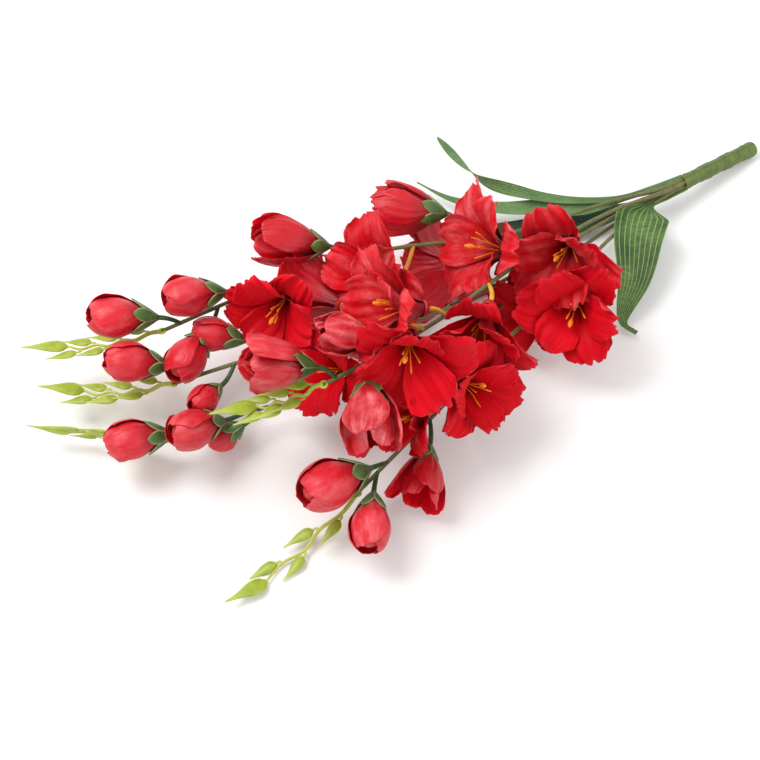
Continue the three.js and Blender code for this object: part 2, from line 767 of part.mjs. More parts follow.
// Cuts a soft piece back from all that it would touch. A neighbour's grown shape can miss a corner
// of its kept one, so the kept shapes that still touch are cut away too.
function clearOf(solid, obstacles) {
  const box = boxOf(solid);
  const near = obstacles.filter((other) => other.box.intersectsBox(box));
  const body = cutBack(solid, near.map((other) => other.grown));
  const touched = near.filter((other) => body.intersect(other.kept).volume() > TOUCH);
  return touched.length ? cutBack(body, touched.map((other) => other.kept)) : body;
}

const obstacleOf = (kept, grown) => ({ kept, grown, box: boxOf(grown) });

function meshOf(name, solid, colour, roughness) {
  const { vertProperties, triVerts } = solid.getMesh();
  const geometry = new THREE.BufferGeometry();
  geometry.setAttribute('position', new THREE.Float32BufferAttribute(vertProperties, 3));
  geometry.setIndex([...triVerts]);
  geometry.computeVertexNormals();
  const material = new THREE.MeshStandardMaterial({ color: colour, roughness, metalness: 0 });
  const mesh = new THREE.Mesh(geometry, material);
  mesh.name = name;
  return mesh;
}

function buildBunch() {
  const bunch = new THREE.Group();
  const obstacles = [];
  const florets = [];
  const add = (name, solid, grown, colour, roughness) => {
    bunch.add(meshOf(name, solid, colour, roughness));
    obstacles.push(obstacleOf(solid, grown));
  };

  add('taped_stem', tapeSolid(0), tapeSolid(CLEARANCE), COLOURS.tape, 0.6);
  SPIKES.forEach((spike, s) => {
    const wire = wireCurve(spike);
    const placed = spike.florets.map((floret, f) => placeFloret(wire, s + 1, floret, f + 1));
    const stem = stemSolid(wire, placed, 0);
    add(`stem_${spike.name}`, stem, stemSolid(wire, placed, CLEARANCE), COLOURS.stems, 0.5);
    const tip = tipSolid(wire, spike.tip, 0);
    add(`tip_${spike.name}`, tip, tipSolid(wire, spike.tip, CLEARANCE), COLOURS.tips, 0.4);
    placed.forEach((floret, f) => florets.push({ ...floret, label: `${spike.name}${f + 1}` }));
  });

  for (const floret of florets.filter(({ kind }) => kind === 'bloom')) {
    const stamens = stamenSolid(floret, 0);
    add(`stamens_${floret.label}`, stamens, stamenSolid(floret, CLEARANCE), COLOURS.stamens, 0.5);
  }

  for (const leaf of LEAVES) {
    const solid = clearOf(leafSolid(leaf, 0), obstacles);
    add(leaf.name, solid, leafSolid(leaf, CLEARANCE), COLOURS.leaves, 0.7);
  }

  // The florets on top keep their whole shape, and those below are cut back from them.
  const height = (floret) => floret.base.z + FLORET_MIDDLE * floret.axis.z;
  florets.sort((p, q) => height(q) - height(p));
  for (const floret of florets) {
    const solid = clearOf(floretSolid(floret, 0), obstacles);
    const name = `${floret.kind}_${floret.label}`;
    add(name, solid, floretSolid(floret, CLEARANCE), COLOURS.petals, 0.75);
  }
  bunch.position.copy(vec(PLAN_CENTRE)).negate();
  return bunch;
}

export default buildBunch();
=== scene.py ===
"""An artificial gladiolus bunch that lies on a table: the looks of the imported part.

Five wire spikes of silk florets are taped into one stem. The layout below is in millimetres, with
the taped stem along +X and the surface at z = 0, and each finished piece is in metres in the part's
own frame.
"""

import math

import bpy
import numpy as np
from mathutils import Matrix, Vector


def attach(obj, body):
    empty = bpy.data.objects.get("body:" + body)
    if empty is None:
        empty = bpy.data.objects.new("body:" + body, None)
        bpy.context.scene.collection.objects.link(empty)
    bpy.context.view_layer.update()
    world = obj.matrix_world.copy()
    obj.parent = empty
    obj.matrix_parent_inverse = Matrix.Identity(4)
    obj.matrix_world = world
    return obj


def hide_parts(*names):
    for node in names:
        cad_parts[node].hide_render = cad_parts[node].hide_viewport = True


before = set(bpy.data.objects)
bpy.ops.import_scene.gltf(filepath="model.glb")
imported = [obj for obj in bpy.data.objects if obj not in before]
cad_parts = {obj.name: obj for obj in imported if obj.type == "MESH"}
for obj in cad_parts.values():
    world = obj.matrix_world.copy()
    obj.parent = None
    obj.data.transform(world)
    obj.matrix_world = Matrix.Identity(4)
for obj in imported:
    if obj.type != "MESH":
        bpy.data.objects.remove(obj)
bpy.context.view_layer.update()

# ---- Sizes of the bunch, in millimetres ----

PLAN_CENTRE = np.array([63.3, 25.5, 0.3])
TABLE_BENDS_BELOW, TABLE_LOWEST = 14, 0.6

CUT_END = np.array([375.0, 55, 6])
TAPE_END = np.array([296.0, 46, 19.5])
TAPE_RADIUS = 5.7
END_WALL, CLEARANCE = 1.2, 0.35
RING_RADIUS, FREE_RUN = 2.85, 20
WIRE_RADIUS = 1.5
STALK_RUN, STALK_EASE = 14, 8
REACH = {"bud": 13, "goblet": 13, "bloom": 15}

BUD_OUTLINE = [[4.7, 3.4], [9.5, 6.6], [16, 10.4], [28, 15.2], [40, 13], [48.5, 5]]
BUD_INNER = [[4.7, 2.4], [9.5, 5.4], [16, 9], [28, 12.8], [38, 9.8], [45, 1.2]]
BUD_HEART = [[30, 8.5], [38, 7], [42, 4.4], [44, 2], [44.6, 0.05]]
BUD_LAP, BUD_TWIST = 0.14, 0.35
# How much pale pink each kind takes: partly the silk's own pink, partly painted highlight on the
# satin.
PALE = {"bud": 0.15, "goblet": 0.0, "bloom": 0.0}

PETALS = {
    "bloom": dict(
        core=[[3, 5.4], [6.5, 6]], root=(4, 3), length=59, width=48, cup=(45, 80),
        angles=(12, 36, 95), vary=(1, 8, 20), outer=(1, 6, 8),
        wave=3, tip_arc=0.11, ragged=0.9, folds=0.75,
    ),
    "goblet": dict(
        core=[[4.7, 3.4], [9.5, 6.8]], root=(7, 2.6), length=48, width=48, cup=(16, 21),
        angles=(36, 10, -14), vary=(2, 4, 6), outer=(8, 6, 12),
        wave=1.5, tip_arc=0.16, ragged=0.3, folds=0.4,
    ),
}
ROOT_SHARE, FULL_AT, ROUND_FROM, ROUND_OVER = 0.24, 0.6, 0.7, 0.38
GAP_ROOT, GAP_SPREAD = 1.5, 1.2
SPLAY_SHARE = (0, 0.4, 1)
PETAL_SECTOR = 1.03

TIP_SEAT, TIP_ZIGZAG, TIP_BUD_LENGTH = 0.8, 1.7, 33

# ---- Layout: the wires, what stands on them and the leaves ----
# A floret is (kind, along the wire, side, turn, lean) and what it has of its own.

SPIKES = [
    dict(
        name="a", ring=36, tip=(-228, 143, 52), roll=15, sag=11, buds=7,
        route=[
            (222, 48, 38), (122, 52, 56), (49, 76, 62), (-6, 91, 62), (-70, 95, 62), (-135, 98, 60),
        ],
        florets=[
            ("bud", 442, 15, 46, 24, {"size": 1.05}),
            ("bud", 412, -125, -80, 35, {}),
            ("bud", 390, 0, 20, 20, {}),
            ("bloom", 347, -80, -60, 46, {"size": 0.86, "spin": 80}),
            ("goblet", 307, 20, 38, 21, {"size": 1.05, "spin": 80, "splay": -20}),
            ("bloom", 259, -125, -33, 47, {"reach": 21, "spin": 30, "pale": 0.3}),
            ("goblet", 218, 50, 120, 30, {"size": 1.08, "reach": 21, "ragged": 1.2}),
            ("bloom", 202, -125, 150, 65, {"reach": 17, "spin": 40}),
        ],
    ),
    dict(
        name="b", ring=108, tip=(-230, 117, 38), roll=10, sag=14, buds=7,
        route=[
            (210, 38, 31), (94, 22, 44), (11, 25, 46), (-52, 47, 46), (-99, 57, 44), (-144, 65, 42),
        ],
        florets=[
            ("bud", 449, 40, 20, 30, {}),
            ("bud", 418, -100, -55, 40, {"size": 0.7}),
            ("bud", 391, 55, 60, 30, {"size": 0.85}),
            ("bloom", 318, 55, 120, 50, {"reach": 22, "spin": 110}),
        ],
    ),
    dict(
        name="c", ring=180, tip=(-249, 98, 22), roll=80, sag=2, buds=7,
        route=[
            (210, 35, 23), (88, 9, 30), (5, 1, 30), (-55, 12, 28), (-105, 26, 26), (-162, 33, 24),
        ],
        florets=[
            ("bud", 466, -10, 54, 13, {}),
            ("bud", 428, -30, -21, 31, {}),
            ("bud", 416, -65, 165, 40, {"size": 0.7}),
            ("bloom", 331, 30, -29, 46, {"size": 0.78, "spin": 40}),
            ("bloom", 165, -115, -6, 25, {"size": 0.8, "reach": 17, "spin": 0}),
        ],
    ),
    dict(
        name="d", ring=-36, tip=(-140, 11, 78), roll=0, sag=11, buds=7, calyx="spread",
        route=[
            (222, 36, 44), (160, 23, 64), (101, 9, 78),
            (27, -9, 88), (-27, -15, 90), (-64, -15, 88),
        ],
        florets=[
            ("goblet", 381, 40, 42, 32, {"size": 0.97, "splay": -18, "pale": 0.25}),
            ("goblet", 349, -60, -91, 64, {"size": 1.08, "spin": 100, "splay": -12, "pale": 0.55}),
            ("goblet", 332, 15, 40, 36, {"size": 0.85, "spin": 60, "splay": -16, "pale": 0.6}),
            ("bloom", 309, -8, -71, 52, {"size": 0.96, "spin": 30, "splay": 2}),
            ("bloom", 288, 15, 43, 29, {"spin": 30, "splay": -12, "pale": 0.3}),
            ("bloom", 244, -70, -102, 29, {"size": 0.95, "spin": 100, "splay": -8}),
            ("bloom", 179, 130, 49, 34, {"reach": 20, "spin": 30, "splay": 4, "pale": 0.35}),
            ("bloom", 150, -50, -65, 23, {"spin": 10, "splay": -8, "pale": 0.2}),
        ],
    ),
    dict(
        name="e", ring=-108, tip=(-185, -92, 10), roll=180, sag=14, buds=5,
        route=[
            (212, 24, 32), (128, -9, 42), (64, -27, 42),
            (11, -46, 38), (-43, -62, 31), (-70, -70, 27),
        ],
        florets=[
            ("bud", 381, -55, -69, 42, {"pale": 0.4}),
            ("bud", 371, 5, 28, 28, {"size": 1.22, "pale": 0.3}),
            ("goblet", 327, -90, -90, 31, {"size": 0.84, "spin": 60, "splay": 14}),
            ("bloom", 306, -10, 23, 39, {"size": 0.82, "spin": 110, "splay": -15}),
            ("bloom", 283, 10, -59, 83, {"size": 0.84, "spin": 30, "splay": -8}),
            ("bloom", 164, -70, -35, 35, {"size": 0.95, "spin": 80, "splay": -10}),
        ],
    ),
]

LEAVES = [
    dict(
        name="leaf_twisted", width=11, rolls=(15, 165), turns=(0.55, 0.95),
        neck=0.2, full_at=0.8, ribs=5,
        route=[
            (295, 49.5, 23.1), (269, 50, 26), (236, 54, 28), (199, 72, 29),
            (171, 94, 32), (150, 123, 33), (140, 172, 38),
        ],
    ),
    dict(
        name="leaf_straight", width=15, rolls=(20, 10), taper=(1.2, 1),
        neck=0.2, full_at=0.45, ribs=7,
        route=[
            (293, 51.5, 18.5), (263, 52, 21), (212, 61, 24), (186, 76, 24),
            (154, 97, 20), (129, 125, 15), (115, 160, 8),
        ],
    ),
    dict(
        name="leaf_broad", width=41, rolls=(0, 0), taper=(1.7, 1.2),
        neck=0.24, full_at=0.37, ribs=9,
        route=[
            (294, 40.5, 18.5), (273, 38, 22), (249, 33, 29), (227, 15, 33),
            (205, -13, 22), (181, -36, 6), (185, -48, 3),
        ],
    ),
    dict(
        name="leaf_under", width=22, rolls=(0, 0), neck=0.1, full_at=0.45, ribs=7,
        route=[(294, 43.5, 12.5), (255, 49.5, 12.5), (205, 60, 9), (150, 82, 6), (100, 104, 4)],
    ),
]
LEAF_NECK, LEAF_FOLD, LEAF_TIP = 3.6, 0.16, 0.1
LEAF_TAPER = (2, 0.5)
LEAF_THICKNESS, RIDGE_HEIGHT, RIDGES_FULL_AT = 0.45, 0.25, 8

# ---- Numbers and directions ----

UP = np.array([0.0, 0, 1])


def unit(v):
    return v / np.linalg.norm(v)


def smooth(x):
    t = np.clip(x, 0, 1)
    return t * t * (3 - 2 * t)


def noise(i, j):
    """A steady number in 0..1 for the pair i, j."""
    s = math.sin(i * 12.9898 + j * 78.233) * 43758.5453
    return s - math.floor(s)


def through(values, x):
    """A quadratic through three values at 0, a half and 1."""
    start, middle, end = values
    return start * (1 - x) * (1 - 2 * x) + middle * 4 * x * (1 - x) + end * x * (2 * x - 1)


def wavy(x, seed, pace, strength=1.0):
    """An uneven wave from -1 to 1, of about `pace` swings as x goes from 0 to 1."""
    total = 0
    for k, share in enumerate((0.5, 0.3, 0.2)):
        swing = pace * (0.7 + 0.6 * noise(seed, 30 + k)) * (1 + 0.9 * k)
        total = total + share * np.sin(2 * np.pi * (swing * x + noise(seed, 40 + k)))
    return strength * total


def line_frame(along):
    up = unit(UP - along * along[2])
    return along, up, np.cross(along, up)


def round_of(line, degrees):
    angle = math.radians(degrees)
    return line[1] * math.cos(angle) + line[2] * math.sin(angle)


def lay(points):
    """Bends the points of a soft piece up, so that it lies along the table."""
    room = TABLE_BENDS_BELOW - TABLE_LOWEST
    z = points[..., 2]
    below = np.minimum(z, TABLE_BENDS_BELOW) - TABLE_BENDS_BELOW
    low = TABLE_LOWEST + room * np.exp(below / room)
    points[..., 2] = np.where(z < TABLE_BENDS_BELOW, low, z)
    return points


class Route:
    """A smooth line through points, read by its share of the way along it."""

    def __init__(self, points, steps=120):
        p = [np.array(q, float) for q in points]
        p = [2 * p[0] - p[1]] + p + [2 * p[-1] - p[-2]]
        line = []
        for p0, p1, p2, p3 in zip(p, p[1:], p[2:], p[3:]):
            gaps = ((p0, p1), (p1, p2), (p2, p3))
            d0, d1, d2 = [max(np.linalg.norm(b - a) ** 0.5, 1e-4) for a, b in gaps]
            t1 = ((p1 - p0) / d0 - (p2 - p0) / (d0 + d1) + (p2 - p1) / d1) * d1
            t2 = ((p2 - p1) / d1 - (p3 - p1) / (d1 + d2) + (p3 - p2) / d2) * d1
            for t in np.arange(steps) / steps:
                here = (2 * t**3 - 3 * t * t + 1) * p1 + (t**3 - 2 * t * t + t) * t1
                line.append(here + (-2 * t**3 + 3 * t * t) * p2 + (t**3 - t * t) * t2)
        line.append(p[-2])
        self.line = np.array(line)
        pieces = np.linalg.norm(np.diff(self.line, axis=0), axis=1)
        self.run = np.concatenate([[0], np.cumsum(pieces)])
        self.length = self.run[-1]

    def point(self, share):
        at = share * self.length
        return np.array([np.interp(at, self.run, self.line[:, k]) for k in range(3)])

    def along(self, share):
        step = 0.004
        return unit(self.point(min(share + step, 1)) - self.point(max(share - step, 0)))


# ---- Where the wires and the florets are ----

STEM_AXIS = unit(TAPE_END - CUT_END)
STEM_FRAME = line_frame(STEM_AXIS)
BOUND = np.linalg.norm(TAPE_END - CUT_END) - END_WALL - CLEARANCE


def wire_route(spike):
    ring = round_of(STEM_FRAME, spike["ring"]) * RING_RADIUS
    start = CUT_END + STEM_AXIS * (END_WALL + CLEARANCE) + ring
    tape = TAPE_END + ring
    return Route([start, tape, tape + STEM_AXIS * FREE_RUN, *spike["route"]])


def place_floret(spike, number, spike_number):
    """A floret's place, its own axes and its number for what varies by chance."""
    kind, at, side, turn, lean, own = spike["florets"][number - 1]
    wire = spike["wire"]
    share = min((BOUND + at) / wire.length, 1)
    line = line_frame(wire.along(share))
    base = wire.point(share) + round_of(line, side) * own.get("reach", REACH[kind])
    tilt = math.radians(lean)
    axis = line[0] * math.cos(tilt) + round_of(line, turn) * math.sin(tilt)
    right = unit(line[2] - axis * (line[2] @ axis))
    seed = spike_number * 10 + number
    return dict(
        label=f"{spike['name']}{number}", kind=kind, size=own.get("size", 1), base=base, axis=axis,
        right=right, forward=np.cross(axis, right), seed=seed,
        spin=math.radians(own.get("spin", 120 * noise(seed, 0))),
        calyx=spike.get("calyx", kind), splay=own.get("splay", 0), pale=own.get("pale", PALE[kind]),
        ragged=own.get("ragged", PETALS.get(kind, {}).get("ragged")),
        foot=wire.point((BOUND + at - STALK_RUN) / wire.length),
    )


def floret_points(floret, height, out, angle):
    height, out, angle = np.broadcast_arrays(height, out, angle)
    size = floret["size"]
    return (
        floret["base"]
        + floret["axis"] * (height * size)[..., None]
        + floret["right"] * (out * size * np.cos(angle))[..., None]
        + floret["forward"] * (out * size * np.sin(angle))[..., None]
    )


for spike_number, spike in enumerate(SPIKES, 1):
    spike["wire"] = wire_route(spike)
    count = len(spike["florets"])
    spike["placed"] = [place_floret(spike, n, spike_number) for n in range(1, count + 1)]
FLORETS = [floret for spike in SPIKES for floret in spike["placed"]]

# ---- Meshes ----


def linked(name, mesh):
    made = bpy.data.objects.new(name, mesh)
    bpy.context.scene.collection.objects.link(made)
    return made


def settled(made):
    """The same object with its modifiers made part of its mesh."""
    graph = bpy.context.evaluated_depsgraph_get()
    mesh = bpy.data.meshes.new_from_object(made.evaluated_get(graph))
    made.modifiers.clear()
    made.data = mesh
    return made


def sheets_mesh(name, sheets, pale=0.0):
    """One mesh of sheets: each is a grid of points in millimetres, with its tone. The map runs over
    each sheet from 0 to 1, and `pale` is how much pale pink the whole piece takes, partly the
    silk's own pink and partly painted highlight."""
    points, faces, uvs, tones = [], [], [], []
    start = 0
    for grid, tone in sheets:
        rows, columns = grid.shape[:2]
        points.append((grid.reshape(-1, 3) - PLAN_CENTRE) / 1000)
        index = start + np.arange(rows * columns).reshape(rows, columns)
        quads = np.stack([index[:-1, :-1], index[:-1, 1:], index[1:, 1:], index[1:, :-1]], axis=-1)
        faces.append(quads.reshape(-1, 4))
        u, v = np.meshgrid(np.linspace(0, 1, columns), np.linspace(0, 1, rows))
        uvs.append(np.stack([u, v], axis=-1).reshape(-1, 2))
        tones.append(np.full(rows * columns, tone))
        start += rows * columns
    faces = np.concatenate(faces)
    mesh = bpy.data.meshes.new(name)
    mesh.from_pydata(np.concatenate(points).tolist(), [], faces.tolist())
    layer = mesh.uv_layers.new(name="UVMap")
    layer.data.foreach_set("uv", np.concatenate(uvs)[faces.ravel()].astype(np.float32).ravel())
    for key, values in (("tone", np.concatenate(tones)), ("pale", np.full(start, pale))):
        layer = mesh.attributes.new(key, "FLOAT", "POINT")
        layer.data.foreach_set("value", values.astype(np.float32))
    mesh.shade_smooth()
    return mesh


def cloth(name, sheets, thickness, back, face=None, pale=0.0):
    """A cloth piece of sheets. `back` is the finish of the side that the sheets face."""
    made = linked(name, sheets_mesh(name, sheets, pale))
    made.data.materials.append(back)
    thick = made.modifiers.new("thickness", "SOLIDIFY")
    thick.thickness = thickness / 1000
    thick.offset = 0
    if face:
        made.data.materials.append(face)
        thick.material_offset = thick.material_offset_rim = 1
    return settled(made)


def ride(made, slot, *nodes):
    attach(made, "root")
    if nodes:
        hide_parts(*nodes)
    return made


# ---- Nodes: shared by the shaders and the growing trees ----


class Nodes:
    """Short ways to put nodes in a tree and to join them."""

    def __init__(self, tree):
        self.tree = tree

    def join(self, value, socket):
        """Links a value from another node, or sets a plain one."""
        if isinstance(value, bpy.types.NodeSocket):
            self.tree.links.new(value, socket)
        else:
            socket.default_value = value

    def node(self, kind, inputs=None, **settings):
        made = self.tree.nodes.new(kind)
        for key, value in settings.items():
            setattr(made, key, value)
        for key, value in (inputs or {}).items():
            self.join(value, made.inputs[key])
        return made

    def first(self, kind, inputs=None, **settings):
        """The first output of a new node."""
        return self.node(kind, inputs, **settings).outputs[0]

    def maths(self, operation, *values):
        return self.first("ShaderNodeMath", dict(enumerate(values)), operation=operation)

    def plus(self, one, two):
        return self.maths("ADD", one, two)

    def minus(self, one, two):
        return self.maths("SUBTRACT", one, two)

    def over(self, one, two):
        return self.maths("DIVIDE", one, two)

    def times(self, product, *values):
        for value in values:
            product = self.maths("MULTIPLY", product, value)
        return product

    def vector(self, x=0.0, y=0.0, z=0.0):
        return self.first("ShaderNodeCombineXYZ", {"X": x, "Y": y, "Z": z})

    def parts(self, vector):
        return self.node("ShaderNodeSeparateXYZ", {0: vector}).outputs

    def way_from(self, value, low, high=1.0, kind="LINEAR"):
        """How far a value is on its way from low to high, from 0 to 1."""
        reach = {"Value": value, 1: low, 2: high}
        return self.first("ShaderNodeMapRange", reach, interpolation_type=kind)

    def ease_from(self, value, low):
        return self.way_from(value, low, kind="SMOOTHSTEP")

    def ramp(self, value, points):
        """A value carried through a smooth line of (at, value) points."""
        made = self.node("ShaderNodeFloatCurve", {"Value": value})
        line = made.mapping.curves[0].points
        line[0].location, line[-1].location = points[0], points[-1]
        for at in points[1:-1]:
            line.new(*at)
        made.mapping.update()
        return made.outputs[0]

    def object_place(self):
        return self.node("ShaderNodeTexCoord").outputs["Object"]

    def sheet_map(self):
        """Across and along a sheet, by its own map."""
        return self.parts(self.node("ShaderNodeTexCoord").outputs["UV"])[:2]


class Group(Nodes):
    """A node group with named inputs and outputs. A number's kind gives its socket's kind."""

    def __init__(self, name, kind, outputs, inputs):
        super().__init__(bpy.data.node_groups.new(name, kind))
        new_socket = self.tree.interface.new_socket
        for label, value in inputs.items():
            socket = {int: "Int", float: "Float"}.get(type(value), label)
            made = new_socket(label, in_out="INPUT", socket_type="NodeSocket" + socket)
            if value is not None:
                made.default_value = value
        for label in outputs:
            socket = "Geometry" if label == "Geometry" else "Float"
            new_socket(label, in_out="OUTPUT", socket_type="NodeSocket" + socket)
        self.given = self.tree.nodes.new("NodeGroupInput").outputs
        self.result = self.tree.nodes.new("NodeGroupOutput").inputs

    def give(self, **values):
        for name, value in values.items():
            self.tree.links.new(value, self.result[name])
        return self.tree


# ---- Growing trees ----


def points_mesh(name, points, edges=(), **attributes):
    """Points in millimetres with what is known of each: numbers, or directions."""
    mesh = bpy.data.meshes.new(name)
    mesh.from_pydata(((np.array(points) - PLAN_CENTRE) / 1000).tolist(), list(edges), [])
    for key, values in attributes.items():
        values = np.array(values, np.float32)
        kind, field = ("FLOAT_VECTOR", "vector") if values.ndim == 2 else ("FLOAT", "value")
        mesh.attributes.new(key, kind, "POINT").data.foreach_set(field, values.ravel())
    return mesh


def grow(name, mesh, tree, **values):
    """Runs a growing tree on a mesh, and keeps what it makes as a plain mesh."""
    made = linked(name, mesh)
    modifier = made.modifiers.new("grow", "NODES")
    modifier.node_group = tree
    for item in tree.interface.items_tree:
        if item.in_out == "INPUT" and item.name in values:
            modifier[item.identifier] = values[item.name]
    return settled(made)


class Growing(Group):
    """A tree that makes a piece from the points or the edges of a mesh."""

    def __init__(self, name, **inputs):
        inputs = {"Geometry": None, **inputs, "Material": None}
        super().__init__(name, "GeometryNodeTree", ["Geometry"], inputs)

    def read(self, name, kind="FLOAT"):
        return self.first("GeometryNodeInputNamedAttribute", {"Name": name}, data_type=kind)

    def keep(self, geometry, name, value):
        inputs = {"Geometry": geometry, "Name": name, "Value": value}
        return self.first("GeometryNodeStoreNamedAttribute", inputs)

    def places(self):
        return self.parts(self.first("GeometryNodeInputPosition"))

    def moved(self, geometry, key, point):
        return self.first("GeometryNodeSetPosition", {"Geometry": geometry, key: point})

    def line_up(self, length, count):
        """A straight line of points up the axis, and how far along it each is."""
        line = self.first("GeometryNodeCurvePrimitiveLine", {"End": self.vector(z=length)})
        line = self.first("GeometryNodeResampleCurve", {"Curve": line, "Count": count})
        along = self.first("GeometryNodeSplineParameter")
        return self.keep(line, "along", along), along

    def tube(self, line, sides, radius, thick):
        ring = {"Resolution": sides, "Radius": radius}
        ring = self.first("GeometryNodeCurvePrimitiveCircle", ring)
        wound = {"Curve": line, "Profile Curve": ring, "Scale": thick, "Fill Caps": True}
        return self.first("GeometryNodeCurveToMesh", wound)

    def ring_of(self, instance, count, stray):
        """Instances turned evenly round one point, each straying a little."""
        index = self.first("GeometryNodeInputIndex")
        sway = []
        for strength in (1.0, -0.6, 1.5):
            reach = {"Min": self.times(stray, -1.0), "Max": stray, "Seed": self.given["Seed"]}
            chance = self.node("FunctionNodeRandomValue", reach).outputs[1]
            sway.append(self.times(chance, strength))
        even = self.over(self.times(index, math.tau), count)
        turn = self.vector(sway[0], sway[1], self.plus(even, sway[2]))
        points = self.first("GeometryNodePoints", {"Count": count})
        inputs = {"Points": points, "Instance": instance, "Rotation": turn}
        return self.first("GeometryNodeInstanceOnPoints", inputs)

    def at_points(self, instance):
        """An instance at each point, stood on the point's axis and turned to its right."""
        axes = {
            "Primary Axis": self.read("axis", "FLOAT_VECTOR"),
            "Secondary Axis": self.read("right", "FLOAT_VECTOR"),
        }
        stand = dict(primary_axis="Z", secondary_axis="X")
        inputs = {
            "Points": self.given["Geometry"], "Instance": instance, "Scale": self.read("size"),
            "Rotation": self.first("FunctionNodeAxesToRotation", axes, **stand),
        }
        return self.first("GeometryNodeInstanceOnPoints", inputs)

    def finish(self, geometry):
        real = self.first("GeometryNodeRealizeInstances", {"Geometry": geometry})
        soft = self.first("GeometryNodeSetShadeSmooth", {"Geometry": real})
        faced = {"Geometry": soft, "Material": self.given["Material"]}
        return self.give(Geometry=self.first("GeometryNodeSetMaterial", faced))


def limb_tree():
    """Round limbs along the edges of a mesh, as thick as its `radius` says."""
    tree = Growing("limbs_along_paths", Sides=12)
    path = tree.first("GeometryNodeMeshToCurve", {"Mesh": tree.given["Geometry"]})
    return tree.finish(tree.tube(path, tree.given["Sides"], 1.0, tree.read("radius")))


SEPAL_OUTLINE = [(0, 1), (0.5, 1), (0.6, 0.88), (0.74, 0.66), (0.89, 0.34), (1, 0.03)]
CUP_OUTLINE = [(0, 0.13), (0.1, 0.22), (0.22, 0.35), (0.45, 0.57), (0.75, 0.81), (1, 0.98)]
SEPAL_LAP, SEPAL_CREASE, FLARES_FROM = 1.08, -0.0008, 0.55


def calyx_tree():
    """A cup of pointed sepals at each point, which hugs the foot of a bud."""
    tree = Growing(
        "sepals_round_cups", Sepals=5, Height=0.021, Radius=0.0148, Narrow=1.0, Flare=0.0012,
        Stray=0.02, Seed=4,
    )
    given = tree.given
    grid = {"Size X": 2.0, "Size Y": 1.0, "Vertices X": 9, "Vertices Y": 17}
    sheet = tree.first("GeometryNodeMeshGrid", grid)
    place = tree.places()
    along = tree.plus(place[1], 0.5)
    sheet = tree.keep(sheet, "along", along)
    sheet = tree.keep(sheet, "across", place[0])
    half = tree.over(math.pi * SEPAL_LAP, given["Sepals"])
    width = tree.maths("POWER", tree.ramp(along, SEPAL_OUTLINE), given["Narrow"])
    angle = tree.times(place[0], half, width)
    past = tree.ease_from(along, FLARES_FROM)
    out = tree.times(given["Radius"], tree.ramp(along, CUP_OUTLINE))
    out = tree.plus(out, tree.times(given["Flare"], past))
    crease = tree.times(tree.maths("ABSOLUTE", place[0]), SEPAL_CREASE)
    out = tree.plus(out, tree.times(crease, past))
    x = tree.times(out, tree.maths("COSINE", angle))
    y = tree.times(out, tree.maths("SINE", angle))
    sepal = tree.moved(sheet, "Position", tree.vector(x, y, tree.times(given["Height"], along)))
    return tree.finish(tree.at_points(tree.ring_of(sepal, given["Sepals"], given["Stray"])))


FILAMENT_BEND = [(0, 0.1), (0.3, 0.12), (0.6, 0.36), (0.85, 0.8), (1, 1)]
FILAMENT_END = [(0, 0.0), (0.74, 0.0), (0.84, 0.85), (0.93, 1.0), (1, 0.25)]


def stamen_tree():
    """Bent filaments with swollen ends, in a ring in the throat at each point."""
    tree = Growing(
        "filaments_in_throats", Filaments=4, Length=0.034, Spread=0.007, Radius=0.0005, End=0.5,
        Stray=0.2, Seed=2,
    )
    given = tree.given
    line, along = tree.line_up(given["Length"], 14)
    bend = tree.times(given["Spread"], tree.ramp(along, FILAMENT_BEND))
    line = tree.moved(line, "Offset", tree.vector(bend))
    thick = tree.plus(0.9, tree.times(tree.ramp(along, FILAMENT_END), given["End"]))
    filament = tree.tube(line, 8, given["Radius"], thick)
    return tree.finish(tree.at_points(tree.ring_of(filament, given["Filaments"], given["Stray"])))


LANCE_OUTLINE = [
    (0, 0.24), (0.05, 0.45), (0.13, 0.85), (0.25, 1.0), (0.42, 0.86), (0.62, 0.52), (0.8, 0.26),
    (0.94, 0.15), (1, 0.05),
]


def sprig_tree():
    """A flat lance-shaped bud at each point, with a round foot and a long point."""
    tree = Growing("lance_buds_on_stalk", Length=0.021, Width=0.0037, Depth=0.4, Curl=-0.0014)
    given = tree.given
    line, along = tree.line_up(given["Length"], 22)
    bud = tree.tube(line, 14, 1.0, tree.times(given["Width"], tree.ramp(along, LANCE_OUTLINE)))
    flat = {"Geometry": bud, "Scale": tree.vector(1.0, given["Depth"], 1.0)}
    bud = tree.first("GeometryNodeTransform", flat)
    place = tree.places()
    bud = tree.keep(bud, "across", tree.over(place[0], given["Width"]))
    share = tree.over(place[2], given["Length"])
    curl = tree.times(given["Curl"], tree.times(share, share))
    return tree.finish(tree.at_points(tree.moved(bud, "Offset", tree.vector(curl))))


# ---- Shared effects of the finishes ----


class Effect(Group):
    """A shader group of masks or heights that change over the surface."""

    def __init__(self, name, *outputs, **inputs):
        super().__init__(name, "ShaderNodeTree", outputs, inputs)


def mottle_group():
    """Soft uneven patches, as moulded plastic and dyed cloth have."""
    tree = Effect("mottle", "Value", Size=0.01, Low=0.0, High=1.0)
    given = tree.given
    patches = {
        "Vector": tree.object_place(), "Scale": tree.over(1.0, given["Size"]), "Detail": 4.0,
        "Roughness": 0.6,
    }
    cloud = tree.first("ShaderNodeTexNoise", patches)
    spread = {"Value": cloud, 1: 0.3, 2: 0.7, 3: given["Low"], 4: given["High"]}
    return tree.give(Value=tree.first("ShaderNodeMapRange", spread))


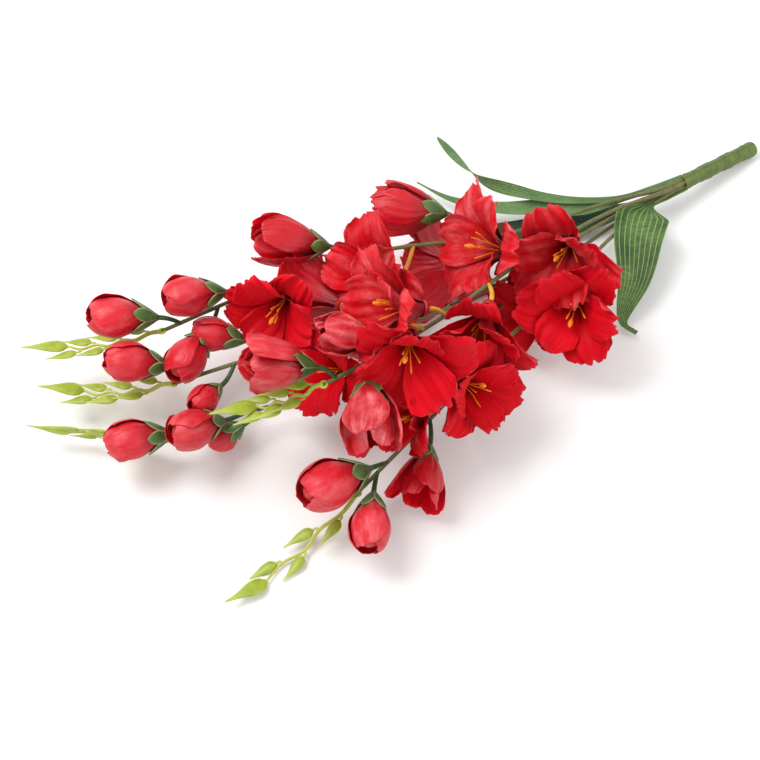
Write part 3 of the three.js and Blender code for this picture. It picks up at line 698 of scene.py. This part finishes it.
def ribs_group():
    """Lines along a sheet, evenly spread from edge to edge of its own map."""
    tree = Effect("ribs", "Mask", "Height", Count=8.0, Sharpness=4.0, Stray=0.0, Own=0.0)
    given = tree.given
    across, along = tree.sheet_map()
    spots = tree.vector(across, along, tree.times(given["Own"], 9.0))
    drift = tree.first("ShaderNodeTexNoise", {"Vector": spots, "Scale": 3.0, "Detail": 2.0})
    shift = tree.times(tree.minus(drift, 0.5), given["Stray"])
    turn = tree.times(tree.plus(across, shift), given["Count"], math.pi)
    wave = tree.maths("ABSOLUTE", tree.maths("COSINE", turn))
    return tree.give(Mask=tree.maths("POWER", wave, given["Sharpness"]), Height=wave)


def creases_group():
    """Soft creases that run along a sheet, as a height. `Own` tells one sheet from another."""
    tree = Effect("creases", "Height", Across=4.0, Along=1.0, Own=0.0)
    given = tree.given
    across, along = tree.sheet_map()
    spots = tree.vector(
        tree.times(across, given["Across"]), tree.times(along, given["Along"]),
        tree.times(given["Own"], 23.0),
    )
    cloud = {"Vector": spots, "Scale": 1.6, "Detail": 5.0, "Roughness": 0.55, "Distortion": 0.4}
    return tree.give(Height=tree.way_from(tree.first("ShaderNodeTexNoise", cloud), 0.3, 0.7))


def weave_group():
    """Fine crossed threads of the cloth, as a height."""
    tree = Effect("weave", "Height", Thread=0.0004)
    spots = {0: tree.object_place(), "Scale": tree.over(1.0, tree.given["Thread"])}
    x, y, z = tree.parts(tree.first("ShaderNodeVectorMath", spots, operation="SCALE"))
    one = tree.maths("SINE", tree.times(tree.plus(x, z), math.pi))
    two = tree.maths("SINE", tree.times(tree.minus(y, z), math.pi))
    return tree.give(Height=tree.times(one, two))


def edge_group():
    """Masks along the side edges and the end of a sheet, from its own map."""
    tree = Effect("edge", "Sides", "Tip", Width=0.1)
    across, along = tree.sheet_map()
    middle = tree.maths("ABSOLUTE", tree.minus(tree.times(across, 2.0), 1.0))
    start = tree.minus(1.0, tree.given["Width"])
    return tree.give(Sides=tree.ease_from(middle, start), Tip=tree.ease_from(along, start))


MOTTLE, RIBS, CREASES = mottle_group(), ribs_group(), creases_group()
WEAVE, EDGE = weave_group(), edge_group()


class Finish(Nodes):
    """A material with one Principled shader, and short ways to colour it."""

    def __init__(self, name, **sockets):
        self.material = bpy.data.materials.new(name)
        self.material.use_nodes = True
        super().__init__(self.material.node_tree)
        self.shader = self.tree.nodes["Principled BSDF"]
        for key, value in sockets.items():
            self.shader.inputs[key.replace("_", " ")].default_value = value

    def group(self, tree, **values):
        return self.node("ShaderNodeGroup", values, node_tree=tree).outputs

    def patches(self, size):
        return self.group(MOTTLE, Size=size)["Value"]

    def attribute(self, name):
        return self.node("ShaderNodeAttribute", attribute_name=name).outputs["Fac"]

    def mix(self, mask, one, two):
        made = self.node("ShaderNodeMix", data_type="RGBA")
        for index, value in ((0, mask), (6, one), (7, two)):
            self.join((*value, 1) if isinstance(value, tuple) else value, made.inputs[index])
        return made.outputs[2]

    def tinted(self, colour, *layers):
        """A colour with tints laid on it. Each layer is (mask, how much, tint)."""
        for mask, share, tint in layers:
            colour = self.mix(self.times(mask, share), colour, tint)
        return colour

    def shade(self, key, value):
        self.tree.links.new(value, self.shader.inputs[key])

    def roughen(self, patches, spread, least):
        self.shade("Roughness", self.plus(self.times(patches, spread), least))

    def bump(self, *layers):
        """Layers of (height, strength, distance in metres), one on another."""
        normal = None
        for height, strength, distance in layers:
            inputs = {"Height": height, "Strength": strength, "Distance": distance}
            if normal is not None:
                inputs["Normal"] = normal
            normal = self.first("ShaderNodeBump", inputs)
        self.shade("Normal", normal)


# The deep crease red is painted shade in the folds of the silk.
BRIGHT_RED, VEIN_RED, CREASE_SHADE_RED = (0.72, 0.003, 0.012), (0.36, 0.001, 0.006), (0.40, 0.001, 0.008)
# The pale pink is partly the silk's own pink and partly painted highlight.
THROAT_RED, PINK_AND_PAINTED_HIGHLIGHT, RIM_PINK = (0.18, 0.0008, 0.004), (0.86, 0.20, 0.21), (0.88, 0.06, 0.09)


def silk_finish(name, dark, light, sheen, roughness, shine):
    made = Finish(
        name, Sheen_Weight=sheen, Sheen_Roughness=0.35, Sheen_Tint=(1.0, 0.5, 0.55, 1),
        Specular_IOR_Level=shine,
    )
    tone = made.attribute("tone")
    patches = made.patches(0.018)
    veins = made.group(RIBS, Count=8.0, Sharpness=2.0, Stray=0.3, Own=tone)
    fine = made.group(RIBS, Count=26.0, Sharpness=1.0, Stray=0.12, Own=tone)
    creases = made.group(CREASES, Across=4.0, Along=1.3, Own=tone)["Height"]
    weave = made.group(WEAVE, Thread=0.0005)["Height"]
    # Pale pink spots where the patches and the creases are high: partly the silk's own pink, partly
    # painted highlight.
    spots = made.maths("POWER", made.times(patches, creases), 1.6)
    pink_and_highlight = made.times(made.attribute("pale"), spots)
    edges = made.group(EDGE, Width=0.10)
    rim = made.maths("MAXIMUM", edges["Sides"], edges["Tip"])
    # The deeper red along the creases is painted shade in the folds of the silk.
    red = made.tinted(
        made.mix(tone, dark, light),
        (patches, 0.35, BRIGHT_RED), (veins["Mask"], 0.10, VEIN_RED), (creases, 0.25, CREASE_SHADE_RED),
        (pink_and_highlight, 3.6, PINK_AND_PAINTED_HIGHLIGHT), (rim, 0.16, RIM_PINK),
    )
    out_of_throat = made.way_from(made.sheet_map()[1], 0.04, 0.4)
    made.shade("Base Color", made.mix(out_of_throat, THROAT_RED, red))
    made.roughen(patches, 0.12, roughness)
    made.bump(
        (veins["Height"], 0.16, 0.0005), (creases, 0.45, 0.0011), (fine["Height"], 0.10, 0.00015),
        (weave, 0.1, 0.00006),
    )
    return made.material


def leaf_finish(name, ribs, dark, light, vein):
    made = Finish(
        name, Roughness=0.5, Sheen_Weight=0.07, Sheen_Roughness=0.4,
        Sheen_Tint=(0.8, 1.0, 0.75, 1), Specular_IOR_Level=0.3,
    )
    across, along = made.sheet_map()
    lines = made.group(RIBS, Count=float(ribs), Sharpness=30.0, Stray=0.02)["Mask"]
    fine = made.group(RIBS, Count=ribs * 5.0, Sharpness=1.0, Stray=0.02)["Height"]
    spots = made.vector(made.times(across, 0.6), made.times(along, 7.0))
    creases = made.first("ShaderNodeTexNoise", {"Vector": spots, "Scale": 9.0, "Detail": 3.0})
    crease_shade = made.way_from(creases, 0.4, 0.65)
    patches = made.patches(0.02)
    sides = made.group(EDGE, Width=0.1)["Sides"]
    green = made.mix(patches, dark, light)
    # The dark crinkles along the creases are painted shade; the lighter sides and the veins are the
    # leaf's print.
    green = made.tinted(green, (crease_shade, 0.6, dark), (sides, 0.5, light), (lines, 0.7, vein))
    made.shade("Base Color", green)
    made.roughen(patches, 0.15, 0.45)
    weave = made.group(WEAVE, Thread=0.0006)["Height"]
    made.bump(
        (lines, 0.6, 0.0005), (creases, 0.6, 0.0015), (fine, 0.2, 0.0002), (weave, 0.12, 0.0001)
    )
    return made.material


def plastic_finish(name, dark, light, tip=None, edge=None, roughness=0.42):
    """Moulded plastic. `tip` is its colour along a growing piece, `edge` the one at its sides."""
    made = Finish(name, Roughness=roughness, Specular_IOR_Level=0.4)
    patches = made.patches(0.006)
    colour = made.mix(patches, dark, light)
    if tip:
        colour = made.mix(made.ease_from(made.attribute("along"), 0.35), colour, tip)
    if edge:
        side = made.ease_from(made.maths("ABSOLUTE", made.attribute("across")), 0.72)
        colour = made.tinted(colour, (side, 0.75, edge))
    made.shade("Base Color", colour)
    made.roughen(patches, 0.18, roughness - 0.08)
    made.bump((patches, 0.25, 0.0004), (made.patches(0.0012), 0.15, 0.0001))
    return made.material


def tape_finish():
    made = Finish("wound_tape", Roughness=0.6, Specular_IOR_Level=0.3)
    patches = made.patches(0.008)
    colour = made.mix(patches, (0.08, 0.122, 0.030), (0.155, 0.21, 0.058))
    sides = made.group(EDGE, Width=0.12)["Sides"]
    made.shade("Base Color", made.tinted(colour, (sides, 0.35, (0.06, 0.10, 0.025))))
    made.roughen(patches, 0.2, 0.5)
    made.bump((patches, 0.4, 0.001), (made.patches(0.0025), 0.35, 0.0004))
    return made.material


SILK_FACE = silk_finish(
    "silk_face", (0.52, 0.0004, 0.005), (0.74, 0.002, 0.013), sheen=0.03, roughness=0.50, shine=0.10
)
SILK_BACK = silk_finish(
    "silk_back", (0.42, 0.001, 0.008), (0.62, 0.005, 0.020), sheen=0.09, roughness=0.32, shine=0.40
)
LEAF_COLOURS = {  # dark, light, veins
    "leaf_twisted": ((0.075, 0.155, 0.048), (0.165, 0.300, 0.098), (0.27, 0.43, 0.17)),
    "leaf_straight": ((0.085, 0.175, 0.056), (0.175, 0.320, 0.108), (0.27, 0.43, 0.17)),
    "leaf_broad": ((0.020, 0.056, 0.015), (0.120, 0.215, 0.058), (0.38, 0.56, 0.14)),
    # The leaf under the others gets a far darker green: painted shade, as it lies in the shadow
    # beneath them.
    "leaf_under": ((0.010, 0.034, 0.013), (0.025, 0.070, 0.028), (0.04, 0.10, 0.04)),
}
LEAF_FINISH = {
    leaf["name"]: leaf_finish("cloth_" + leaf["name"], leaf["ribs"], *LEAF_COLOURS[leaf["name"]])
    for leaf in LEAVES
}
STEM_GREEN = plastic_finish(
    "stem_coating", (0.105, 0.098, 0.030), (0.175, 0.175, 0.055), roughness=0.5
)
CALYX_GREEN = plastic_finish(
    "calyx_plastic", (0.022, 0.062, 0.016), (0.075, 0.145, 0.036), tip=(0.10, 0.195, 0.048),
    edge=(0.40, 0.42, 0.20), roughness=0.4,
)
STALK_GREEN = plastic_finish("stalk_plastic", (0.020, 0.060, 0.020), (0.050, 0.115, 0.035))
SPRIG_STALK = plastic_finish(
    "sprig_stalk_plastic", (0.38, 0.42, 0.05), (0.52, 0.54, 0.09), roughness=0.38
)
SPRIG_BUD = plastic_finish(
    "sprig_bud_plastic", (0.23, 0.32, 0.02), (0.38, 0.46, 0.04), tip=(0.42, 0.49, 0.09),
    edge=(0.50, 0.55, 0.10), roughness=0.36,
)
ORANGE = plastic_finish("filament_plastic", (0.86, 0.25, 0.014), (0.98, 0.42, 0.04), roughness=0.4)
AMBER = plastic_finish("floret_stub_plastic", (0.62, 0.30, 0.03), (0.80, 0.45, 0.06), roughness=0.4)
TAPE = tape_finish()

# ---- Silk petals ----


def profile(angles, length, share):
    """How far out and up a line goes that leaves the axis at three angles, and its angle there."""
    steps = 12
    out = rise = 0
    for i in range(steps):
        angle = np.radians(through(angles, share * (i + 0.5) / steps))
        out = out + np.sin(angle) * share * length / steps
        rise = rise + np.cos(angle) * share * length / steps
    return out, rise, np.radians(through(angles, share))


def petal_half_width(v):
    past = np.maximum(0, v - ROUND_FROM) / ROUND_OVER
    widened = ROOT_SHARE + (1 - ROOT_SHARE) * smooth(v / FULL_AT)
    return widened * np.sqrt(np.maximum(1 - past * past, 0.1))


def petal(floret, index, rows=28, columns=34):
    """One petal of six: the first three are the inner layer, the rest the outer one."""
    shape = PETALS[floret["kind"]]
    outer = index >= 3
    seed = floret["seed"]
    mark = seed * 6 + index

    def pick(j):
        return noise(seed, 1 + index * 7 + j) - 0.5

    turn = floret["spin"] + math.radians(120 * index + (60 if outer else 0) + 5 * pick(0))
    opened = pick(1) + (0.5 if outer else -0.5)
    each = zip(shape["angles"], shape["vary"], shape["outer"], SPLAY_SHARE)
    angles = [
        angle + vary * opened + (more if outer else 0) + share * floret["splay"]
        for angle, vary, more, share in each
    ]
    length = shape["length"] * (1 + 0.14 * pick(2))
    half = shape["width"] / 2 * (1 + 0.16 * pick(3))
    twist = 10 * pick(4)
    phase = 2 * math.pi * pick(5)
    cup = shape["cup"][1 if outer else 0]

    u, v = np.meshgrid(np.linspace(-1, 1, columns), np.linspace(0, 1, rows) ** 0.9)
    ragged = floret["ragged"] * (wavy(u / 2, mark, 2.4, 0.05) + wavy(u / 2, mark + 500, 5, 0.012))
    reach = v * (1 - shape["tip_arc"] * np.abs(u) ** 3.4) * (1 + ragged * v**4)
    out, rise, angle = profile(angles, length, reach)
    gap = GAP_ROOT + GAP_SPREAD * smooth(3 * v) if outer else 0
    out = out + shape["root"][1] + gap
    bend = out + (cup - out) * smooth(1.6 * reach - 0.3)
    uneven = floret["ragged"] * wavy(v, mark + 900, 4, 0.05) * np.abs(u)
    side = half * petal_half_width(v) * (1 + uneven)
    theta = u * side / bend
    ripple = shape["wave"] * u * u * v * v * np.sin(2 * np.pi * (1.2 * v + 0.4 * u) + phase)
    # Broad folds and creases run along the petal, and its rim and sides wave.
    sway = u / 2 + 0.07 * np.sin(5 * v + mark)
    folds = wavy(sway, mark + 70, 2.0, 3.2) * v**1.3 + wavy(sway, mark + 140, 4.5, 0.9) * v**2
    rim = wavy(0.5 * u + 0.1 * v, mark + 210, 3.6, 1.5) * smooth((v - 0.65) / 0.35)
    sides = wavy(0.8 * v, mark + 350, 3, 2.0) * np.abs(u) ** 3 * v
    rise_in = bend * (1 - np.cos(theta)) + ripple + twist * u * v * v
    rise_in = rise_in + shape["folds"] * (folds + rim + sides)
    height = shape["root"][0] + rise + rise_in * np.sin(angle)
    outward = out - rise_in * np.cos(angle)
    sideways = bend * np.sin(theta)
    polar = PETAL_SECTOR * np.tanh(np.arctan2(sideways, outward) / PETAL_SECTOR)
    points = floret_points(floret, height, np.hypot(outward, sideways), turn + polar)
    return lay(points), noise(mark, 3)


def turned(floret, outline, sides=24):
    """A silk tube turned round the floret's axis."""
    angle = np.linspace(0, 2 * np.pi, sides + 1)
    rows = [floret_points(floret, h, r, angle) for h, r in outline]
    return np.array(rows), 0.2


def bud_petals(floret, rows=24, columns=26):
    """Petals wound over each other, each with its edge a little over the next one."""
    made = []
    for layer, (points, wide, arc) in enumerate(((BUD_OUTLINE, 1.55, 0.22), (BUD_INNER, 1.4, 0.1))):
        outline = Route([(h, r, 0) for h, r in points])
        low, tall = points[0][0], points[-1][0] - points[0][0]
        for k in range(3):
            mark = floret["seed"] * 6 + k + 50 * layer
            x, t = np.meshgrid(np.linspace(0, wide, columns), np.linspace(0, 1, rows) ** 0.8)
            middle = 2 * x / wide - 1
            rounded = 1 - arc * np.abs(middle) ** 2.6 * smooth(1.5 * t) - 0.07 * noise(mark, 4) * t
            share = np.clip(t * rounded * (1 + wavy(x / wide, mark, 2.5, 0.02) * t**3), 0, 1)
            height, out = outline.point(share)[:2]
            flare = 1 + (0.16 - 0.12 * layer) * smooth((t - 0.7) / 0.3) * noise(mark, 5)
            out = out * (1 - BUD_LAP * x) * flare + wavy(x / wide, mark + 7, 1.6, 0.5) * t**2
            wound = k + x - BUD_TWIST * (height - low) / tall
            angle = wound * 2 * np.pi / 3 + floret["spin"] + layer
            grid = lay(floret_points(floret, height, out, angle))
            made.append((grid, 0.35 + 0.65 * noise(mark, 3)))
    return made


SILK_THICKNESS = {"bloom": 0.35, "goblet": 0.35, "bud": 0.4}
for floret in FLORETS:
    if floret["kind"] == "bud":
        sheets = [*bud_petals(floret), turned(floret, BUD_HEART)]
    else:
        core = PETALS[floret["kind"]]["core"]
        sheets = [*(petal(floret, i) for i in range(6)), turned(floret, core)]
    name = f"silk_{floret['kind']}_{floret['label']}"
    made = cloth(name, sheets, SILK_THICKNESS[floret["kind"]], SILK_BACK, SILK_FACE, floret["pale"])
    ride(made, "petal", f"{floret['kind']}_{floret['label']}")

# ---- Wires, stalks and calyces ----

LIMBS, CALYCES, STAMENS, SPRIGS = limb_tree(), calyx_tree(), stamen_tree(), sprig_tree()

CALYX_SHAPES = {
    "bud": dict(Height=0.0185, Radius=0.0124, Flare=0.0005),
    "goblet": dict(Height=0.016, Radius=0.0116, Flare=0.0005),
    "spread": dict(Height=0.022, Radius=0.0142, Narrow=1.7, Flare=0.002, Stray=0.06),
}
SEPAL_THICKNESS = 0.0007
STUB_HEIGHT, STUB_RADII = 4, np.array([1.9, 4.2])
STALK_STEPS = 10


def stalk_line(floret):
    """The line of a side stalk from the wire to the cup."""
    ease = floret["base"] - floret["axis"] * STALK_EASE
    t = np.linspace(0, 1, STALK_STEPS)[:, None]
    return (1 - t) ** 2 * floret["foot"] + 2 * t * (1 - t) * ease + t * t * floret["base"]


def limbs(name, lines, material, sides=12):
    """Round limbs along lines of (points, radii) in millimetres."""
    points, radii, edges = [], [], []
    for line, radius in lines:
        start = len(points)
        points.extend(line)
        radii.extend(np.broadcast_to(radius, len(line)) / 1000)
        edges.extend((i, i + 1) for i in range(start, start + len(line) - 1))
    mesh = points_mesh(name, points, edges, radius=radii)
    return grow(name, mesh, LIMBS, Sides=sides, Material=material)


def placed_points(name, florets, lift=0.0):
    """A point at each cup, with the floret's axes and size."""
    cups = [f["base"] + f["axis"] * lift * f["size"] for f in florets]
    axes, sizes = [[f[key] for f in florets] for key in ("axis", "size")]
    rights = [
        f["right"] * math.cos(f["spin"]) + f["forward"] * math.sin(f["spin"]) for f in florets
    ]
    return points_mesh(name, cups, axis=axes, right=rights, size=sizes)


for spike in SPIKES:
    wire, letter = spike["wire"], spike["name"]
    shares = np.linspace(0, 1, 150)
    line = wire.point(shares).T
    past_tape = shares * wire.length - BOUND
    swell = 0.5 * smooth(1 - np.abs(past_tape - 20) / 40) + 0.12 * wavy(shares, 5, 30)
    stem = limbs(f"wire_{letter}", [(line, WIRE_RADIUS + swell)], STEM_GREEN)
    ride(stem, "stem", f"stem_{letter}")
    cupped = [f for f in spike["placed"] if f["kind"] != "bloom"]
    opened = [f for f in spike["placed"] if f["kind"] == "bloom"]
    if cupped:
        lines = [(stalk_line(f), np.linspace(1.5, 1.9, STALK_STEPS)) for f in cupped]
        ride(limbs(f"bud_stalks_{letter}", lines, STALK_GREEN), "stem")
        for kind, shape in CALYX_SHAPES.items():
            cups = [f for f in cupped if f["calyx"] == kind]
            if not cups:
                continue
            points = placed_points("cups", cups)
            values = dict(shape, Seed=ord(letter), Material=CALYX_GREEN)
            calyces = grow(f"{kind}_calyces_{letter}", points, CALYCES, **values)
            thick = calyces.modifiers.new("thickness", "SOLIDIFY")
            thick.thickness, thick.offset = SEPAL_THICKNESS, 0
            ride(settled(calyces), "stem")
    if opened:
        lines = [(stalk_line(f), np.linspace(1.5, 1.8, STALK_STEPS)) for f in opened]
        lines += [
            ([f["base"], f["base"] + f["axis"] * STUB_HEIGHT * f["size"]], STUB_RADII * f["size"])
            for f in opened
        ]
        ride(limbs(f"floret_stubs_{letter}", lines, AMBER), "stem")

# ---- Stamens ----

THROAT_HEIGHT = 5.5
STYLE = dict(Filaments=1, Length=0.038, Spread=0.004, Radius=0.0006, End=2.4)

for floret in FLORETS:
    if floret["kind"] == "bloom":
        label, seed = floret["label"], floret["seed"]
        for name, shape, nodes in (
            ("filaments", dict(Filaments=4, Seed=seed), [f"stamens_{label}"]),
            ("style", dict(STYLE, Seed=seed + 3), []),
        ):
            throat = placed_points("throat", [floret], THROAT_HEIGHT)
            made = grow(f"{name}_{label}", throat, STAMENS, Material=ORANGE, **shape)
            ride(made, "stamen", *nodes)

# ---- Sprigs at the tips ----

STALK_RADII, TWIG_RADII = (1.75, 0.85), np.array([0.95, 0.8, 0.75])
BUD_LEAN = math.radians(14)
FOOT_ALONG, FOOT_ASIDE = 3.2, 2.9
EYE_RADIUS, EYE_WALL = 2.3, 0.95
LAST_BUD_SIZE, BUD_SIZE, BUD_SIZE_VARIES = 1.6, 1.02, 0.16


def sprig_knees(spike):
    """Where the buds of a sprig stand on its zigzag stalk, with its line and side."""
    wire = spike["wire"]
    start = wire.point(1.0) + wire.along(1.0) * TIP_SEAT
    end = np.array(spike["tip"], float)
    length = np.linalg.norm(end - start)
    line = line_frame(unit(end - start))
    side = round_of(line, 90 + spike["roll"])
    pitch = (length - TIP_BUD_LENGTH) / spike["buds"]
    knees = [start]
    for i in range(1, spike["buds"] + 1):
        drop = UP * spike["sag"] * math.sin(math.pi * i * pitch / length)
        knee = start + line[0] * i * pitch - drop
        knees.append(knee + side * (TIP_ZIGZAG if i % 2 else -TIP_ZIGZAG))
    return knees, line, side, end


for spike in SPIKES:
    letter = spike["name"]
    knees, line, side, end = sprig_knees(spike)
    stalk = Route(knees).point(np.linspace(0, 1, 60)).T
    lines = [(stalk, np.linspace(*STALK_RADII, 60))]
    roots, ways, rights, sizes = [], [], [], []
    for k, knee in enumerate(knees[1:]):
        last = k == spike["buds"] - 1
        hand = 1 if k % 2 == 0 else -1
        lean = 0 if last else BUD_LEAN * hand
        way = unit(end - knee) if last else line[0] * math.cos(lean) + side * math.sin(lean)
        foot = knee if last else knee + line[0] * FOOT_ALONG + side * hand * FOOT_ASIDE
        if not last:
            bent = knee + side * hand * 2.4 + line[0] * 0.6
            lines.append((np.array([knee, bent, foot + way * 0.8]), TWIG_RADII))
        roots.append(foot)
        ways.append(way)
        rights.append(side * hand if not last else side)
        own = BUD_SIZE + BUD_SIZE_VARIES * noise(k, ord(letter))
        sizes.append(LAST_BUD_SIZE if last else own)
    angle = np.linspace(0, 2 * math.pi, 17)
    ring = np.outer(np.cos(angle), line[0]) + np.outer(np.sin(angle), side)
    lines.append((knees[0] + ring * EYE_RADIUS, EYE_WALL))
    ride(limbs(f"sprig_stalk_{letter}", lines, SPRIG_STALK, sides=10), "tip", f"tip_{letter}")
    mesh = points_mesh("bud_feet", roots, axis=ways, right=rights, size=sizes)
    ride(grow(f"sprig_buds_{letter}", mesh, SPRIGS, Material=SPRIG_BUD), "tip")

# ---- Leaves ----


def eased(share, start, end):
    return smooth((share - start) / (end - start))


def leaf_sheet(leaf, rows=110, columns=21):
    route = Route(leaf["route"])
    ribs, full_at = leaf["ribs"], leaf["full_at"]
    first_roll, last_roll = leaf["rolls"]
    power, round_end = leaf.get("taper", LEAF_TAPER)
    mark = len(leaf["name"]) + ribs
    u = np.linspace(-1, 1, columns)
    ridges = np.abs(np.cos(np.pi * ribs * (u + 1) / 2)) ** 3
    grid = np.zeros((rows, columns, 3))
    for r, share in enumerate(np.linspace(0, 1, rows)):
        line = line_frame(route.along(share))
        roll = first_roll + (last_roll - first_roll) * eased(share, *leaf.get("turns", (0, 1)))
        side, normal = round_of(line, 90 - roll), round_of(line, -roll)
        full = LEAF_NECK + (leaf["width"] - LEAF_NECK) * eased(share, leaf["neck"], full_at)
        past = max(0, (share - full_at) / (1 - full_at))
        half = full / 2 * max(1 - past**power, 0) ** round_end
        half = max(half, full / 2 * LEAF_TIP)
        lift = np.abs(u) * half * LEAF_FOLD + wavy(share + 0.02 * u, mark, 5, 0.03) * half * u
        lift = lift + RIDGE_HEIGHT * ridges * min(1, half / RIDGES_FULL_AT)
        grid[r] = route.point(share) + np.outer(u * half, side) + np.outer(lift, normal)
    return lay(grid), noise(mark, 1)


for leaf in LEAVES:
    name, sheets = leaf["name"], [leaf_sheet(leaf)]
    made = cloth(f"cloth_{name}", sheets, LEAF_THICKNESS, LEAF_FINISH[name])
    ride(made, "leaf", name)

# ---- The tape binding ----

TAPE_THICKNESS = 0.0004


def tape_binding(rows=260, columns=48, turns=15, lap=0.55):
    """The tape's turns stand over each other like a screw, with a few soft lumps along it."""
    share = np.linspace(0, 1, rows)
    angle = np.linspace(0, 2 * np.pi, columns + 1)
    s, a = np.meshgrid(share, angle, indexing="ij")
    turn = turns * s - a / (2 * np.pi)
    radius = TAPE_RADIUS - lap * 0.5 + lap * (1 - (turn - np.floor(turn))) ** 1.5 * 0.6
    radius = radius + 0.30 * np.sin(21 * s) + wavy(s * 2 + 0.06 * np.cos(a), 8, 5, 0.35)
    radius = radius * np.sqrt(np.clip(1 - ((0.03 - s) / 0.03).clip(0) ** 2, 0.02, 1))
    radius = radius * (1 - 0.16 * smooth((s - 0.93) / 0.07))
    centre = CUT_END + (TAPE_END + STEM_AXIS * 3 - CUT_END) * s[..., None]
    up, aside = [(radius * wave)[..., None] for wave in (np.cos(a), np.sin(a))]
    return centre + STEM_FRAME[1] * up - STEM_FRAME[2] * aside


tape = linked("tape_binding", sheets_mesh("tape_binding", [(tape_binding(), 0.5)]))
tape.data.materials.append(TAPE)
thick = tape.modifiers.new("thickness", "SOLIDIFY")
thick.thickness, thick.offset = TAPE_THICKNESS, -1
ride(settled(tape), "tape", "taped_stem")

# ---- Floor, light and camera ----

CAMERA_AZIMUTH, CAMERA_ELEVATION = math.radians(-30), math.radians(58)
CAMERA_DISTANCE, CAMERA_LENS = 1.060, 70
TARGET = (np.array([-15.0, -5, 40]) - PLAN_CENTRE) / 1000
FLOOR_SIZE, WORLD_STRENGTH = 12.0, 0.9


def stage_floor():
    mesh = bpy.data.meshes.new("floor")
    half = FLOOR_SIZE / 2
    corners = [(-half, -half, 0), (half, -half, 0), (half, half, 0), (-half, half, 0)]
    mesh.from_pydata(corners, [], [(0, 1, 2, 3)])
    floor = linked("floor", mesh)
    made = Finish("pale_floor", Roughness=0.9, Specular_IOR_Level=0.1)
    pale = made.mix(made.patches(0.6), (0.86, 0.86, 0.855), (0.90, 0.90, 0.895))
    made.shade("Base Color", pale)
    floor.data.materials.append(made.material)


def area_light(name, place, size, power):
    light = bpy.data.lights.new(name, "AREA")
    light.shape, light.size, light.energy = "DISK", size, power
    lamp = linked(name, light)
    lamp.location = place
    lamp.rotation_euler = Vector((-p for p in place)).to_track_quat("-Z", "Y").to_euler()


def studio():
    world = bpy.data.worlds.new("studio")
    world.use_nodes = True
    light = world.node_tree.nodes["Background"].inputs
    light["Color"].default_value = (1, 1, 1, 1)
    light["Strength"].default_value = WORLD_STRENGTH
    bpy.context.scene.world = world
    area_light("key", (-0.6, 0.5, 1.5), size=0.9, power=17)
    area_light("fill", (0.9, -1.2, 1.3), size=1.2, power=6)
    bpy.context.scene.view_settings.view_transform = "Standard"


def camera():
    a, e = CAMERA_AZIMUTH, CAMERA_ELEVATION
    right = Vector((math.cos(a), math.sin(a), 0))
    level = Vector((-math.sin(a), math.cos(a), 0))
    up = level * math.sin(e) + Vector((0, 0, 1)) * math.cos(e)
    back = -level * math.cos(e) + Vector((0, 0, 1)) * math.sin(e)
    lens = bpy.data.cameras.new("camera")
    lens.lens, lens.sensor_width = CAMERA_LENS, 36
    lens.clip_start, lens.clip_end = 0.05, 20
    eye = linked("camera", lens)
    turn = Matrix((right, up, back)).transposed().to_4x4()
    eye.matrix_world = Matrix.Translation(Vector(TARGET) + back * CAMERA_DISTANCE) @ turn
    bpy.context.scene.camera = eye


stage_floor()
studio()
camera()
